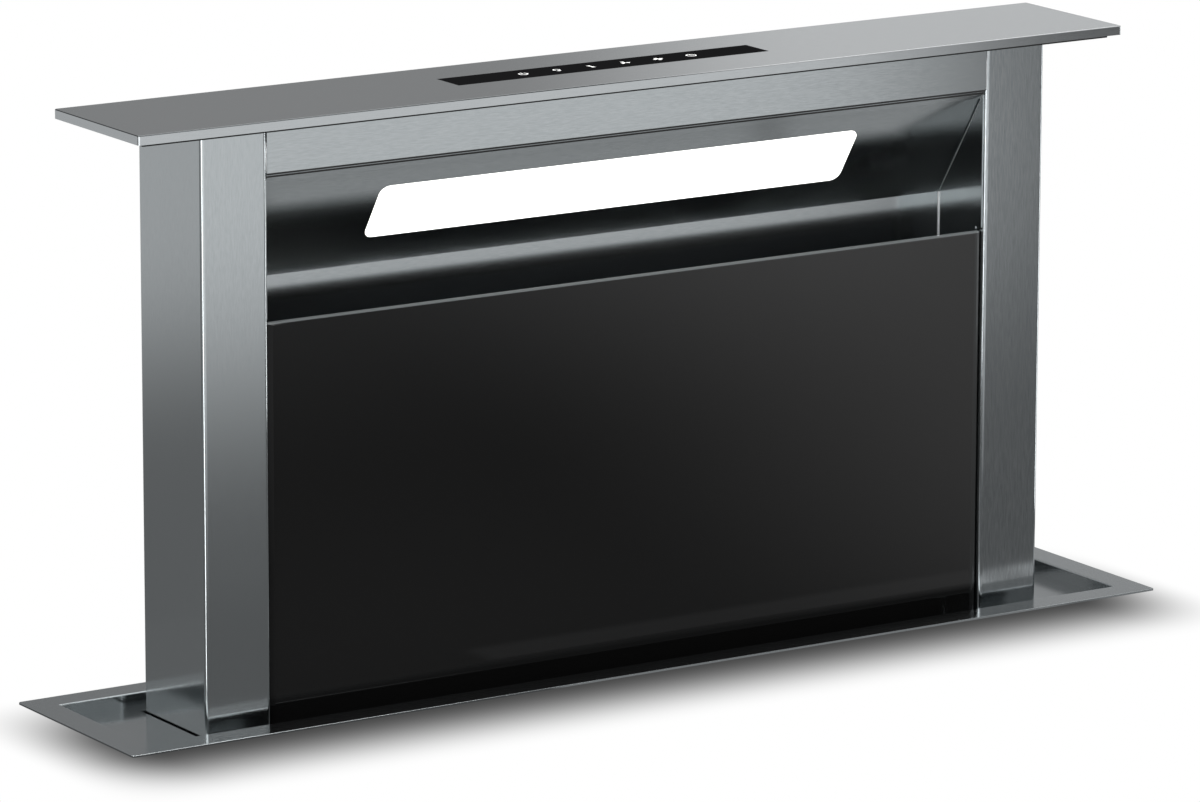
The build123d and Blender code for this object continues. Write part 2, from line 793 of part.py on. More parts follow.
# Backflow flap, hung off centre so that it shuts by its own weight
with BuildPart() as backflow_flap:
    with BuildSketch(Plane.YZ.offset(flap_x)):
        with Locations((spigot_y, outlet_z)):
            Circle(spigot_radius - spigot_wall - flap_gap)
    extrude(amount=flap_sheet / 2, both=True)
    with BuildSketch(Plane.XZ.offset(-spigot_y)):
        with Locations((flap_x, flap_axis_z)):
            Circle(flap_hub_radius)
    extrude(amount=flap_hub_length / 2, both=True)
    with BuildSketch(Plane.XZ.offset(-spigot_y)):
        with Locations((flap_x, flap_axis_z)):
            Circle(flap_pin_radius + flap_pin_gap)
    extrude(amount=spigot_radius, both=True, mode=Mode.SUBTRACT)
save(backflow_flap.part, "backflow_flap")


# ------------------------------------------------------------------ power box

box_length, box_depth, box_height = power_box_size
power_box_middle = power_box_top - box_height / 2
with BuildPart() as power_box:
    with BuildSketch(Plane.XZ.offset(housing_y)):
        with Locations((power_box_x, power_box_middle)):
            RectangleRounded(box_length, box_height, 2 * power_box_wall)
    extrude(amount=box_depth - power_box_lid)
    with BuildSketch(Plane.XZ.offset(housing_y + power_box_wall)):
        with Locations((power_box_x, power_box_middle)):
            Rectangle(box_length - 2 * power_box_wall, box_height - 2 * power_box_wall)
    extrude(amount=box_depth, mode=Mode.SUBTRACT)
    with BuildSketch(Plane.XY.offset(power_box_top - box_height)):
        with Locations((power_box_x, -housing_y - box_depth / 2)):
            Circle(gland_radius / 2 + gland_bore / 2)
    extrude(amount=power_box_wall, mode=Mode.SUBTRACT)
save(power_box.part, "power_box")

with BuildPart() as power_box_cover:
    with BuildSketch(Plane.XZ.offset(housing_y + box_depth - power_box_lid)):
        with Locations((power_box_x, power_box_middle)):
            RectangleRounded(box_length, box_height, 2 * power_box_wall)
    extrude(amount=power_box_lid)
    chamfer(power_box_cover.faces().sort_by(Axis.Y)[0].edges(), power_box_lid / 3)
save(power_box_cover.part, "power_box_cover")

# Cable gland: a hexagon under the box, a nose, and the bore for the cable
with BuildPart() as cable_gland:
    with BuildSketch(Plane.XY.offset(power_box_top - box_height)):
        with Locations((power_box_x, -housing_y - box_depth / 2)):
            RegularPolygon(gland_radius, 6)
    extrude(amount=-gland_length / 3)
    with BuildSketch(Plane.XY.offset(power_box_top - box_height + power_box_wall)):
        with Locations((power_box_x, -housing_y - box_depth / 2)):
            Circle(gland_radius / 2 + gland_bore / 2)
    extrude(amount=-gland_length)
    with BuildSketch(Plane.XY.offset(power_box_top - box_height + power_box_wall)):
        with Locations((power_box_x, -housing_y - box_depth / 2)):
            Circle(gland_bore)
    extrude(amount=-gland_length, mode=Mode.SUBTRACT)
save(cable_gland.part, "cable_gland")


# ------------------------------------------------------------------ tower

# Columns: folded tubes either side of the intake
for side, name in ((-1, "column_left"), (1, "column_right")):
    with BuildPart() as column:
        with BuildSketch(Plane.XY.offset(tower_bottom)):
            with Locations((side * column_x, tower_mid_y)):
                RectangleRounded(column_width, column_depth, column_corner)
                RectangleRounded(
                    column_width - 2 * column_wall,
                    column_depth - 2 * column_wall,
                    column_corner - column_wall,
                    mode=Mode.SUBTRACT,
                )
        extrude(amount=column_height)
    save(column.part, name)

# Frame that ties the columns together at their lower ends
frame_depth = tower_back - tower_sheet - tower_front
frame_mid_y = tower_front + frame_depth / 2
with BuildPart() as lower_frame:
    with BuildSketch(Plane.XY.offset(tower_bottom)):
        with Locations((0, frame_mid_y)):
            Rectangle(column_spacing, frame_depth)
    extrude(amount=frame_height)
    with BuildSketch(Plane.XY.offset(tower_bottom + frame_sheet)):
        with Locations((0, frame_mid_y)):
            Rectangle(column_spacing - 2 * frame_sheet, frame_depth - 2 * frame_sheet)
    extrude(amount=frame_height, mode=Mode.SUBTRACT)
    with BuildSketch(Plane.XY.offset(tower_bottom)):
        with Locations((0, frame_mid_y)):
            Rectangle(column_spacing - 2 * frame_flange, frame_depth - 2 * frame_flange)
    extrude(amount=frame_sheet, mode=Mode.SUBTRACT)
save(lower_frame.part, "lower_frame")

# Rear sheet
with BuildPart() as rear_panel:
    with BuildSketch(Plane.XZ.offset(-tower_back)):
        with Locations((0, tower_bottom)):
            Rectangle(column_spacing, column_height, align=(Align.CENTER, Align.MIN))
    extrude(amount=tower_sheet)
save(rear_panel.part, "rear_panel")

# Header across the front, its lower edge returned along the slope
with BuildPart() as header_panel:
    with BuildSketch(Plane.YZ):
        with BuildLine():
            Polyline(
                (tower_front + header_return, plate_bottom),
                (tower_front, plate_bottom),
                (tower_front, header_bottom),
                (tower_front + lip_length * down_y, header_bottom + lip_length * down_z),
            )
            offset(amount=tower_sheet, side=Side.LEFT, kind=Kind.INTERSECTION)
        make_face()
    extrude(amount=column_inner, both=True)
save(header_panel.part, "header_panel")

# Slope of the intake pocket and the wall below it, one folded sheet
sheet_start = 3 * tower_sheet
behind = tower_sheet + pocket_sheet_gap
slope_start = (
    tower_front + sheet_start * down_y - behind * down_z,
    header_bottom + sheet_start * down_z + behind * down_y,
)
with BuildPart() as pocket_sheet:
    with BuildSketch(Plane.YZ):
        with BuildLine():
            Polyline(
                slope_start,
                (pocket_back, pocket_corner),
                (pocket_back, cradle_top_z - cradle_sheet),
            )
            offset(amount=tower_sheet, side=Side.LEFT, kind=Kind.INTERSECTION)
        make_face()
    extrude(amount=column_inner, both=True)
    with BuildSketch(slope_plane.offset(-2 * tower_sheet)):
        RectangleRounded(
            lamp_length + 2 * lamp_gap,
            lamp_height + 2 * lamp_gap,
            lamp_corner + lamp_gap,
        )
    extrude(amount=4 * tower_sheet, mode=Mode.SUBTRACT)
save(pocket_sheet.part, "pocket_sheet")

# Cheeks that line the pocket's sides
cheek_front = tower_front + column_corner
cheek_step = glass_back + 2 * glass_gap
cheek_lift = glass_top + 3 * glass_gap
cheek_edge = lamp_gap / down_y
for side, name in ((-1, "cheek_left"), (1, "cheek_right")):
    with BuildPart() as cheek:
        with BuildSketch(Plane.YZ.offset(side * column_inner)):
            with BuildLine():
                Polyline(
                    (cheek_front, cheek_lift),
                    (cheek_front, header_bottom + column_corner * down_z / down_y - cheek_edge),
                    (pocket_back, pocket_corner - cheek_edge),
                    (pocket_back, cradle_top_z + 2 * cradle_sheet),
                    (cheek_step, cradle_top_z + 2 * cradle_sheet),
                    (cheek_step, cheek_lift),
                    close=True,
                )
            make_face()
        extrude(amount=-side * cheek_sheet)
    save(cheek.part, name)

# Lamp lens, flush in the slope
lens_face = slope_plane.offset(-tower_sheet / 2)
with BuildPart() as lamp_lens:
    with BuildSketch(lens_face):
        RectangleRounded(lamp_length, lamp_height, lamp_corner)
    extrude(amount=-lens_thickness)
save(lamp_lens.part, "lamp_lens")

# Lamp housing behind the slope, with the lens in its mouth
housing_mouth = slope_plane.offset(-2 * tower_sheet - pocket_sheet_gap)
with BuildPart() as lamp_housing:
    with BuildSketch(housing_mouth):
        RectangleRounded(
            lamp_length + 2 * lamp_housing_wall,
            lamp_height + 2 * lamp_housing_wall,
            lamp_corner + lamp_housing_wall,
        )
    extrude(amount=-lamp_housing_depth)
    with BuildSketch(housing_mouth):
        RectangleRounded(
            lamp_length + 2 * lamp_gap,
            lamp_height + 2 * lamp_gap,
            lamp_corner + lamp_gap,
        )
    extrude(amount=-lamp_housing_depth + tower_sheet, mode=Mode.SUBTRACT)
save(lamp_housing.part, "lamp_housing")

# LED board on the floor of that housing
board_length, board_width, board_thickness = led_board_size
with BuildPart() as led_board:
    with BuildSketch(housing_mouth.offset(-lamp_housing_depth + tower_sheet)):
        Rectangle(board_length, board_width)
    extrude(amount=board_thickness)
save(led_board.part, "led_board")


# ------------------------------------------------------------------ filters

# Cradle: a leaning frame with a gutter for the filters' lower edges
filter_pitch = filter_width + 2 * filter_gap
window_width = filter_width - 2 * filter_border
window_length = filter_length - 2 * filter_border
with BuildPart() as filter_cradle:
    with BuildSketch(section_plane):
        with BuildLine():
            Polyline(
                (0, cradle_length),
                (0, 0),
                (filter_thickness + 2 * filter_gap, 0),
                (filter_thickness + 2 * filter_gap, cradle_lip),
            )
            offset(amount=cradle_sheet, side=Side.RIGHT, kind=Kind.INTERSECTION)
        make_face()
    extrude(amount=column_inner, both=True)
    with BuildSketch(filter_plane.offset(-2 * cradle_sheet)):
        with Locations((0, filter_gap + filter_length / 2)):
            with GridLocations(filter_pitch, 0, 2, 1):
                Rectangle(window_width, window_length)
    extrude(amount=2 * cradle_sheet, mode=Mode.SUBTRACT)
save(filter_cradle.part, "filter_cradle")

# Filter frames, each with a pull on its face
for side, name in ((-1, "filter_frame_left"), (1, "filter_frame_right")):
    filter_middle = (side * filter_pitch / 2, filter_gap + filter_length / 2)
    pull_middle = (side * filter_pitch / 2, filter_length - filter_border)
    with BuildPart() as filter_frame:
        with BuildSketch(filter_plane):
            with Locations(filter_middle):
                Rectangle(filter_width, filter_length)
                Rectangle(window_width, window_length, mode=Mode.SUBTRACT)
        extrude(amount=filter_thickness)
        with BuildSketch(filter_plane.offset(filter_thickness)):
            with Locations(pull_middle):
                SlotOverall(filter_pull[0], filter_pull[1])
                SlotOverall(
                    filter_pull[0] - filter_border,
                    filter_pull[1] - filter_border / 2,
                    mode=Mode.SUBTRACT,
                )
        extrude(amount=cradle_sheet)
    save(filter_frame.part, name)

# Woven mesh blocks inside the frames
with BuildPart() as filter_meshes:
    with BuildSketch(filter_plane.offset((filter_thickness - mesh_thickness) / 2)):
        with Locations((0, filter_gap + filter_length / 2)):
            with GridLocations(filter_pitch, 0, 2, 1):
                Rectangle(window_width, window_length)
    extrude(amount=mesh_thickness)
save(filter_meshes.part, "filter_meshes")

# Trough that catches what runs down the glass and the filters
trough_front = tower_front + frame_sheet
with BuildPart() as drip_trough:
    with BuildSketch(Plane.XY.offset(trough_bottom)):
        with Locations((0, trough_front)):
            Rectangle(trough_length, trough_back - trough_front, align=(Align.CENTER, Align.MIN))
    extrude(amount=trough_rim - trough_bottom)
    top_face = drip_trough.faces().sort_by(Axis.Z)[-1]
    offset(amount=-trough_sheet, openings=top_face)
save(drip_trough.part, "drip_trough")


# ------------------------------------------------------------------ glass door

# Black glass with bevelled front edges
with BuildPart() as glass_panel:
    with BuildSketch(Plane.XZ.offset(-glass_back)):
        with Locations((0, glass_bottom)):
            Rectangle(glass_width, glass_height, align=(Align.CENTER, Align.MIN))
    extrude(amount=glass_thickness)
    top_edge = glass_panel.faces().sort_by(Axis.Y)[0].edges().sort_by(Axis.Z)[-1]
    top_side = glass_panel.faces().sort_by(Axis.Z)[-1]
    chamfer(top_edge, glass_bevel_depth, glass_top_bevel, reference=top_side)
    for end in (0, -1):
        side_edge = glass_panel.faces().sort_by(Axis.Y)[0].edges().filter_by(Axis.Z).sort_by(Axis.X)[end]
        side_face = glass_panel.faces().sort_by(Axis.X)[end]
        chamfer(side_edge, glass_bevel_depth, glass_side_bevel, reference=side_face)
save(glass_panel.part, "glass_panel")

# Steel frame bonded behind the glass; the slotted ears at its lower corners hook over the pins
backing_width = glass_width - 2 * backing_inset
backing_top = glass_top - backing_inset
ear_inner = column_inner - door_ear_offset - door_ear
ear_low = door_pivot_z - 2 * door_pin_radius
ear_high = door_pivot_z + 4 * door_pin_radius
ear_slot = 2 * (door_pin_radius + door_pin_gap)
with BuildPart() as door_backing:
    with BuildSketch(Plane.XZ.offset(-backing_back)):
        with Locations((0, ear_low)):
            Rectangle(backing_width, backing_top - ear_low, align=(Align.CENTER, Align.MIN))
        with Locations((0, ear_high + backing_border)):
            Rectangle(
                backing_width - 2 * backing_border,
                backing_top - ear_high - 2 * backing_border,
                align=(Align.CENTER, Align.MIN),
                mode=Mode.SUBTRACT,
            )
        with Locations((-column_inner, ear_low), (column_inner, ear_low)):
            Rectangle(
                2 * door_ear_offset,
                ear_high + 2 * door_pin_radius - ear_low,
                align=(Align.CENTER, Align.MIN),
                mode=Mode.SUBTRACT,
            )
    extrude(amount=backing_sheet)
    for side in (-1, 1):
        with BuildSketch(Plane.YZ.offset(side * ear_inner)):
            with Locations((backing_back, (ear_low + ear_high) / 2)):
                Rectangle(
                    door_pivot_y - backing_back,
                    ear_high - ear_low,
                    align=(Align.MIN, Align.CENTER),
                )
            with Locations((door_pivot_y, door_pivot_z)):
                Circle(2 * door_pin_radius)
                Circle(ear_slot / 2, mode=Mode.SUBTRACT)
                Rectangle(
                    ear_slot,
                    3 * door_pin_radius,
                    align=(Align.CENTER, Align.MAX),
                    mode=Mode.SUBTRACT,
                )
        extrude(amount=side * door_ear)
save(door_backing.part, "door_backing")

# Brackets on the columns, and the pins that carry the ears
bracket_front = backing_back + catch_gap + door_pin_gap
bracket_back = 2 * door_pivot_y - bracket_front
with BuildPart() as hinge_brackets:
    with BuildSketch(Plane.YZ.offset(column_inner)):
        with Locations(((bracket_front + bracket_back) / 2, door_pivot_z)):
            Rectangle(bracket_back - bracket_front, 2 * (bracket_back - bracket_front))
        with Locations((door_pivot_y, door_pivot_z)):
            Circle(door_pin_radius, mode=Mode.SUBTRACT)
    extrude(amount=-bracket_width)
    mirror(about=Plane.YZ)
save(hinge_brackets.part, "hinge_brackets")

with BuildPart() as hinge_pins:
    with BuildSketch(Plane.YZ.offset(column_inner)):
        with Locations((door_pivot_y, door_pivot_z)):
            Circle(door_pin_radius)
    extrude(amount=ear_inner - column_inner - backing_sheet)
    mirror(about=Plane.YZ)
save(hinge_pins.part, "hinge_pins")

# Magnetic catches behind the glass's top corners
with BuildPart() as door_catches:
    with BuildSketch(Plane.XY.offset(cradle_top_z)):
        with Locations((column_inner, backing_back + catch_gap)):
            Rectangle(catch_size[0], catch_size[1], align=(Align.MAX, Align.MIN))
    extrude(amount=-catch_size[2])
    mirror(about=Plane.YZ)
save(door_catches.part, "door_catches")


# ------------------------------------------------------------------ top

# Top plate: a shallow folded cap with the opening for the touch strip
with BuildPart() as top_plate:
    with BuildSketch(Plane.XY.offset(plate_bottom)):
        RectangleRounded(plate_length, plate_width, plate_corner)
    extrude(amount=plate_thickness)
    fillet(top_plate.faces().sort_by(Axis.Z)[-1].edges(), plate_edge_break)
    with BuildSketch(Plane.XY.offset(plate_bottom)):
        Rectangle(plate_length - 2 * plate_sheet, plate_width - 2 * plate_sheet)
    extrude(amount=plate_thickness - plate_sheet, mode=Mode.SUBTRACT)
    with BuildSketch(Plane.XY.offset(plate_under)):
        with Locations((strip_x, strip_y)):
            Rectangle(strip_length + 2 * strip_gap, strip_width + 2 * strip_gap)
    extrude(amount=plate_sheet, mode=Mode.SUBTRACT)
save(top_plate.part, "top_plate")

# Touch box under the strip: its rebate seats the glass
touch_length = strip_length + 2 * strip_gap + 2 * touch_box_wall
touch_width = strip_width + 2 * strip_gap + 2 * touch_box_wall
with BuildPart() as touch_box:
    with BuildSketch(Plane.XY.offset(plate_under)):
        with Locations((strip_x, strip_y)):
            Rectangle(touch_length, touch_width)
    extrude(amount=-touch_box_depth)
    with BuildSketch(Plane.XY.offset(strip_bottom)):
        with Locations((strip_x, strip_y)):
            Rectangle(strip_length + 2 * strip_gap, strip_width + 2 * strip_gap)
    extrude(amount=plate_under - strip_bottom, mode=Mode.SUBTRACT)
    with BuildSketch(Plane.XY.offset(strip_bottom)):
        with Locations((strip_x, strip_y)):
            Rectangle(strip_length - 2 * strip_seat, strip_width - 2 * strip_seat)
    extrude(amount=plate_under - strip_bottom + strip_seat - touch_box_depth, mode=Mode.SUBTRACT)
save(touch_box.part, "touch_box")

# Glass touch strip, flush in the plate
with BuildPart() as touch_strip:
    with BuildSketch(Plane.XY.offset(strip_bottom)):
        with Locations((strip_x, strip_y)):
            Rectangle(strip_length, strip_width)
    extrude(amount=strip_thickness)
save(touch_strip.part, "touch_strip")

# Inner tray that closes the cap from below
tray_length = plate_length - 2 * plate_sheet
tray_width = plate_width - 2 * plate_sheet
with BuildPart() as plate_tray:
    with BuildSketch(Plane.XY.offset(plate_bottom)):
        Rectangle(tray_length, tray_width)
    extrude(amount=plate_under - plate_bottom)
    with BuildSketch(Plane.XY.offset(plate_bottom + tower_sheet)):
        Rectangle(tray_length - 2 * tower_sheet, tray_width - 2 * tower_sheet)
    extrude(amount=plate_thickness, mode=Mode.SUBTRACT)
    with BuildSketch(Plane.XY.offset(plate_bottom)):
        with Locations((strip_x, strip_y)):
            Rectangle(touch_length + 2 * strip_gap, touch_width + 2 * strip_gap)
    extrude(amount=plate_thickness, mode=Mode.SUBTRACT)
save(plate_tray.part, "plate_tray")

# Rubber seal under the plate's edge, to meet the rim's ledge when the lift is down
seal_x = plate_length - 2 * seal_inset
seal_y = plate_width - 2 * seal_inset
with BuildPart() as plate_seal:
    with BuildSketch(Plane.XY.offset(plate_bottom)):
        Rectangle(seal_x, seal_y)
        Rectangle(seal_x - 2 * seal_width, seal_y - 2 * seal_width, mode=Mode.SUBTRACT)
    extrude(amount=plate_thickness + seal_gap - recess_drop)
save(plate_seal.part, "plate_seal")


# ------------------------------------------------------------------ carriages

# Carriages on the columns' outer sides, running in the rails
shoe_width = rail_width - 2 * rail_wall - 2 * shoe_gap
shoe_end = housing_in_x - rail_wall - shoe_gap
nut_side = nut_radius + carriage_wall
with BuildPart() as carriages:
    with BuildSketch(Plane.XY.offset(tower_bottom)):
        with Locations((column_outer, -nut_side)):
            Rectangle(
                carriage_outer - column_outer,
                rail_y - rail_width / 2 - carriage_wall + nut_side,
                align=(Align.MIN, Align.MIN),
            )
        with Locations((column_outer, -nut_side)):
            Rectangle(
                rail_x - carriage_gap - column_outer,
                tower_back + nut_side,
                align=(Align.MIN, Align.MIN),
            )
        with Locations((column_outer, rail_y)):
            Rectangle(shoe_end - column_outer, shoe_width, align=(Align.MIN, Align.CENTER))
    extrude(amount=carriage_height)
    with BuildSketch(Plane.XY.offset(tower_bottom)):
        with Locations((screw_x, 0)):
            Circle(nut_radius)
    extrude(amount=nut_height, mode=Mode.SUBTRACT)
    with BuildSketch(Plane.XY.offset(tower_bottom)):
        with Locations((screw_x, 0)):
            Circle(screw_radius + 2 * shoe_gap)
    extrude(amount=carriage_height, mode=Mode.SUBTRACT)
    mirror(about=Plane.YZ)
save(carriages.part, "carriages")

# Bronze nuts pressed up into the carriages
with BuildPart() as lift_nuts:
    with BuildSketch(Plane.XY.offset(tower_bottom)):
        with Locations((-screw_x, 0), (screw_x, 0)):
            Circle(nut_radius)
            Circle(screw_radius + screw_gap, mode=Mode.SUBTRACT)
    extrude(amount=nut_height)
save(lift_nuts.part, "lift_nuts")
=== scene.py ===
from math import cos, pi, radians, sin

import bmesh
import bpy
from mathutils import Matrix, Vector


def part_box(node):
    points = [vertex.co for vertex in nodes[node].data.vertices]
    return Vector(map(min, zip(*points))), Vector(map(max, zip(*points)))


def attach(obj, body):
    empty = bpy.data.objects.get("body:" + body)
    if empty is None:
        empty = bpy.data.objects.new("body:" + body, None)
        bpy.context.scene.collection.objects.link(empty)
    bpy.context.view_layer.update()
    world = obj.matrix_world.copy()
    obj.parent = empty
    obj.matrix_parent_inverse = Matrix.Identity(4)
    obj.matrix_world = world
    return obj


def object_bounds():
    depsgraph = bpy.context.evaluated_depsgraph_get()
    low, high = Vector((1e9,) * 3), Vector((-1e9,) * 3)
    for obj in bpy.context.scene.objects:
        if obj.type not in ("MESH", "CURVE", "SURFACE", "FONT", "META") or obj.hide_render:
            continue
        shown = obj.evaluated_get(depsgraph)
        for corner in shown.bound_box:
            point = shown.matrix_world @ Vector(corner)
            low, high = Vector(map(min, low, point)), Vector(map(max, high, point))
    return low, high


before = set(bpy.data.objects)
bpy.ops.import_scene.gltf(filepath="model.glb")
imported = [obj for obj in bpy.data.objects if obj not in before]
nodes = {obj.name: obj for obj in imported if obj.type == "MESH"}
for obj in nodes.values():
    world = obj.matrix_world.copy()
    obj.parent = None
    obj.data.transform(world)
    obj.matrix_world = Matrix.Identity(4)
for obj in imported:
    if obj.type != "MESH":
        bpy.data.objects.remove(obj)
cad_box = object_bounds()
MM = 0.001
SMOOTH = "SMOOTHSTEP"
SIDES = ((-1, "left"), (1, "right"))

# The photograph's camera: 216 mm lens, looking down on the raised unit from its left front
CAMERA_PLACE = Vector((-2.9169, -4.5362, 1.4231))
CAMERA_YAW = radians(32.706)
CAMERA_PITCH = radians(12.832)
CAMERA_ROLL = radians(0.146)
CAMERA_LENS = 216.44
CAMERA_SENSOR = 36
CAMERA_REACH = 100

# Heights of the places that the looks refer to, in metres
FLOOR = cad_box[0][2]
PLATE_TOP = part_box("top_plate")[1].z


def place_camera():
    """Stands the camera where the photograph was taken from."""
    along = Vector((sin(CAMERA_YAW), cos(CAMERA_YAW), 0))
    right = Vector((cos(CAMERA_YAW), -sin(CAMERA_YAW), 0))
    forward = along * cos(CAMERA_PITCH) + Vector((0, 0, -sin(CAMERA_PITCH)))
    up = Vector((0, 0, cos(CAMERA_PITCH))) + along * sin(CAMERA_PITCH)
    level = right * cos(CAMERA_ROLL) + up * sin(CAMERA_ROLL)
    upright = up * cos(CAMERA_ROLL) - right * sin(CAMERA_ROLL)
    camera = bpy.data.objects.new("camera", bpy.data.cameras.new("camera"))
    camera.data.sensor_width = CAMERA_SENSOR
    camera.data.lens = CAMERA_LENS
    camera.data.clip_end = CAMERA_REACH
    turn = Matrix((level, upright, -forward)).transposed().to_4x4()
    camera.matrix_world = Matrix.Translation(CAMERA_PLACE) @ turn
    bpy.context.scene.collection.objects.link(camera)
    bpy.context.scene.camera = camera


place_camera()
bpy.context.scene.view_settings.view_transform = "Standard"


# ---------------------------------------------------------------- node helpers

def linear(hex_color):
    """Turns an sRGB hex colour into the linear values that nodes take."""
    out = []
    for i in (1, 3, 5):
        c = int(hex_color[i:i + 2], 16) / 255
        out.append(c / 12.92 if c <= 0.04045 else ((c + 0.055) / 1.055) ** 2.4)
    return (*out, 1.0)


WHITE = (1, 1, 1, 1)
DAYLIGHT = linear("#fbfdff")
STAGE_GREY = linear("#d8d8d8")


def add(tree, kind, links=None, **settings):
    """Adds a node: links fills its inputs with values or outputs, settings its options."""
    made = tree.nodes.new(kind)
    for key, value in settings.items():
        setattr(made, key, value)
    for key, value in (links or {}).items():
        if isinstance(value, bpy.types.NodeSocket):
            tree.links.new(value, made.inputs[key])
        else:
            made.inputs[key].default_value = value
    return made


def blend(tree, factor, low, high):
    """Mixes two colours, each an sRGB hex colour or another node's output."""
    low, high = (linear(color) if isinstance(color, str) else color for color in (low, high))
    links = {"Factor": factor, 6: low, 7: high}
    return add(tree, "ShaderNodeMix", links, data_type="RGBA").outputs[2]


def remap(tree, value, start, end, low=0.0, high=1.0, curve="LINEAR"):
    """Turns values from start to end into those from low to high, held beyond them."""
    links = {"Value": value, 1: start, 2: end, 3: low, 4: high}
    return add(tree, "ShaderNodeMapRange", links, interpolation_type=curve).outputs[0]


def spread(tree, share, low, high):
    """Turns a share from 0 to 1 into values from low to high."""
    return remap(tree, share, 0.0, 1.0, low, high)


def compute(tree, operation, *values):
    """The result of one sum on values or outputs."""
    return add(tree, "ShaderNodeMath", dict(enumerate(values)), operation=operation).outputs[0]


def noise(tree, place, scale, detail=2.0):
    """Soft noise over a place, with its outputs Fac and Color."""
    links = {"Vector": place, "Scale": scale, "Detail": detail}
    return add(tree, "ShaderNodeTexNoise", links).outputs


def stretched(tree, place, scale):
    """A place scaled by its axes, so that noise over it is drawn out."""
    return add(tree, "ShaderNodeMapping", {"Vector": place, "Scale": scale}).outputs[0]


def relief(tree, height, strength, deep=0.1 * MM, **settings):
    """A bumped normal."""
    links = {"Height": height, "Strength": strength, "Distance": deep}
    return add(tree, "ShaderNodeBump", links, **settings).outputs[0]


def split_place(tree, place):
    """The three coordinates of a place."""
    return add(tree, "ShaderNodeSeparateXYZ", {0: place}).outputs


def start_material(name):
    """A new material, its empty node tree and the object's own coordinates in it."""
    material = bpy.data.materials.new(name)
    material.use_nodes = True
    tree = material.node_tree
    tree.nodes.clear()
    return material, tree, add(tree, "ShaderNodeTexCoord").outputs["Object"]


def end_material(tree, looks):
    """Ends a material with one surface that has these looks."""
    shader = add(tree, "ShaderNodeBsdfPrincipled", looks)
    add(tree, "ShaderNodeOutputMaterial", {"Surface": shader.outputs[0]})


# ---------------------------------------------------------------- steel

def brushed_steel(name, light, dark, grain, rough, sheen_axis, depth=0.02):
    """Stainless sheet brushed along one direction: fine streaks a centimetre long, and a
    highlight that spreads across them. The real lines are 0.1 mm wide; they are drawn about
    0.7 mm wide so that they show. Grain is streaks per millimetre along each axis."""
    material, tree, place = start_material(name)
    streaks = noise(tree, stretched(tree, place, [g / MM for g in grain]), 1.0, 3.0)["Fac"]
    mixed = remap(tree, streaks, 0.3, 0.7)
    unevenness = 0.02
    tangent = add(tree, "ShaderNodeTangent", direction_type="RADIAL", axis=sheen_axis)
    end_material(tree, {
        "Base Color": blend(tree, mixed, dark, light), "Metallic": 1.0, "Anisotropic": 0.5,
        "Roughness": spread(tree, mixed, rough + unevenness, rough - unevenness),
        "Tangent": tangent.outputs[0], "Normal": relief(tree, streaks, depth)})
    return material


# Brushed 304 stainless, lines upright: soft vertical streaks, light spreads sideways
steel_upright = brushed_steel(
    "brushed_stainless_upright", "#cbcfd0", "#c6cbcc", (1.9, 1.9, 0.16), 0.13, "Z")
# The right column: the upright steel with darker, coarser streaks, a painted shade that stands
# for the room's dark side it faces
steel_painted_shade = brushed_steel(
    "brushed_stainless_upright_painted_shade", "#cdd1d2", "#b2b7b9", (1.7, 1.7, 0.11), 0.13, "Z")
# The same sheet with its lines along the unit: header, pocket and rear sheet
steel_along = brushed_steel(
    "brushed_stainless_along", "#cbcfd0", "#c5cacb", (0.14, 1.9, 1.9), 0.13, "X")
# The rim is satin steel, darker than the tower, and mirrors what stands on it
steel_rim = brushed_steel(
    "satin_stainless_rim", "#aaadae", "#a4a8a9", (0.1, 1.6, 1.6), 0.14, "X", 0.01)
# Bends and seams: the sheet's steel painted paler and made duller, a painted highlight that draws
# them as bright lines
steel_painted_highlight = brushed_steel(
    "stainless_bend_painted_highlight", "#eceeee", "#e0e3e3", (0.8, 0.8, 0.8), 0.4, "X")


def plate_steel():
    """Satin stainless of the top plate: grey and even on top; a thin painted line where the sheet
    turns down, painted shade on the left and a painted highlight on the right; and its edges
    below it painted pale, a painted highlight."""
    steel = brushed_steel(
        "satin_stainless_plate", "#bcbebe", "#b7b9b9", (0.1, 2.0, 2.0), 0.12, "X", 0.01)
    tree = steel.node_tree
    shader = next(n for n in tree.nodes if n.type == "BSDF_PRINCIPLED")
    top = shader.inputs["Base Color"].links[0].from_socket
    line_starts, line_full = 0.03 * MM, 0.1 * MM
    line_ends, edge_starts = 0.6 * MM, 0.8 * MM
    place = add(tree, "ShaderNodeTexCoord").outputs["Object"]
    across, _, height = split_place(tree, place)
    rightward = remap(tree, across, -0.05, 0.15, curve=SMOOTH)
    turned = remap(tree, height, PLATE_TOP - line_starts, PLATE_TOP - line_full)
    below = remap(tree, height, PLATE_TOP - line_ends, PLATE_TOP - edge_starts)
    # The line where the sheet turns down: painted shade on the left, painted highlight on the
    # right
    line = blend(tree, turned, top, blend(tree, rightward, "#4c4f50", "#f6f7f7"))
    # The edges below the line are painted pale: a painted highlight
    tree.links.new(blend(tree, below, line, "#cfd2d3"), shader.inputs["Base Color"])
    return steel


steel_satin = plate_steel()


# ---------------------------------------------------------------- glass and lamp

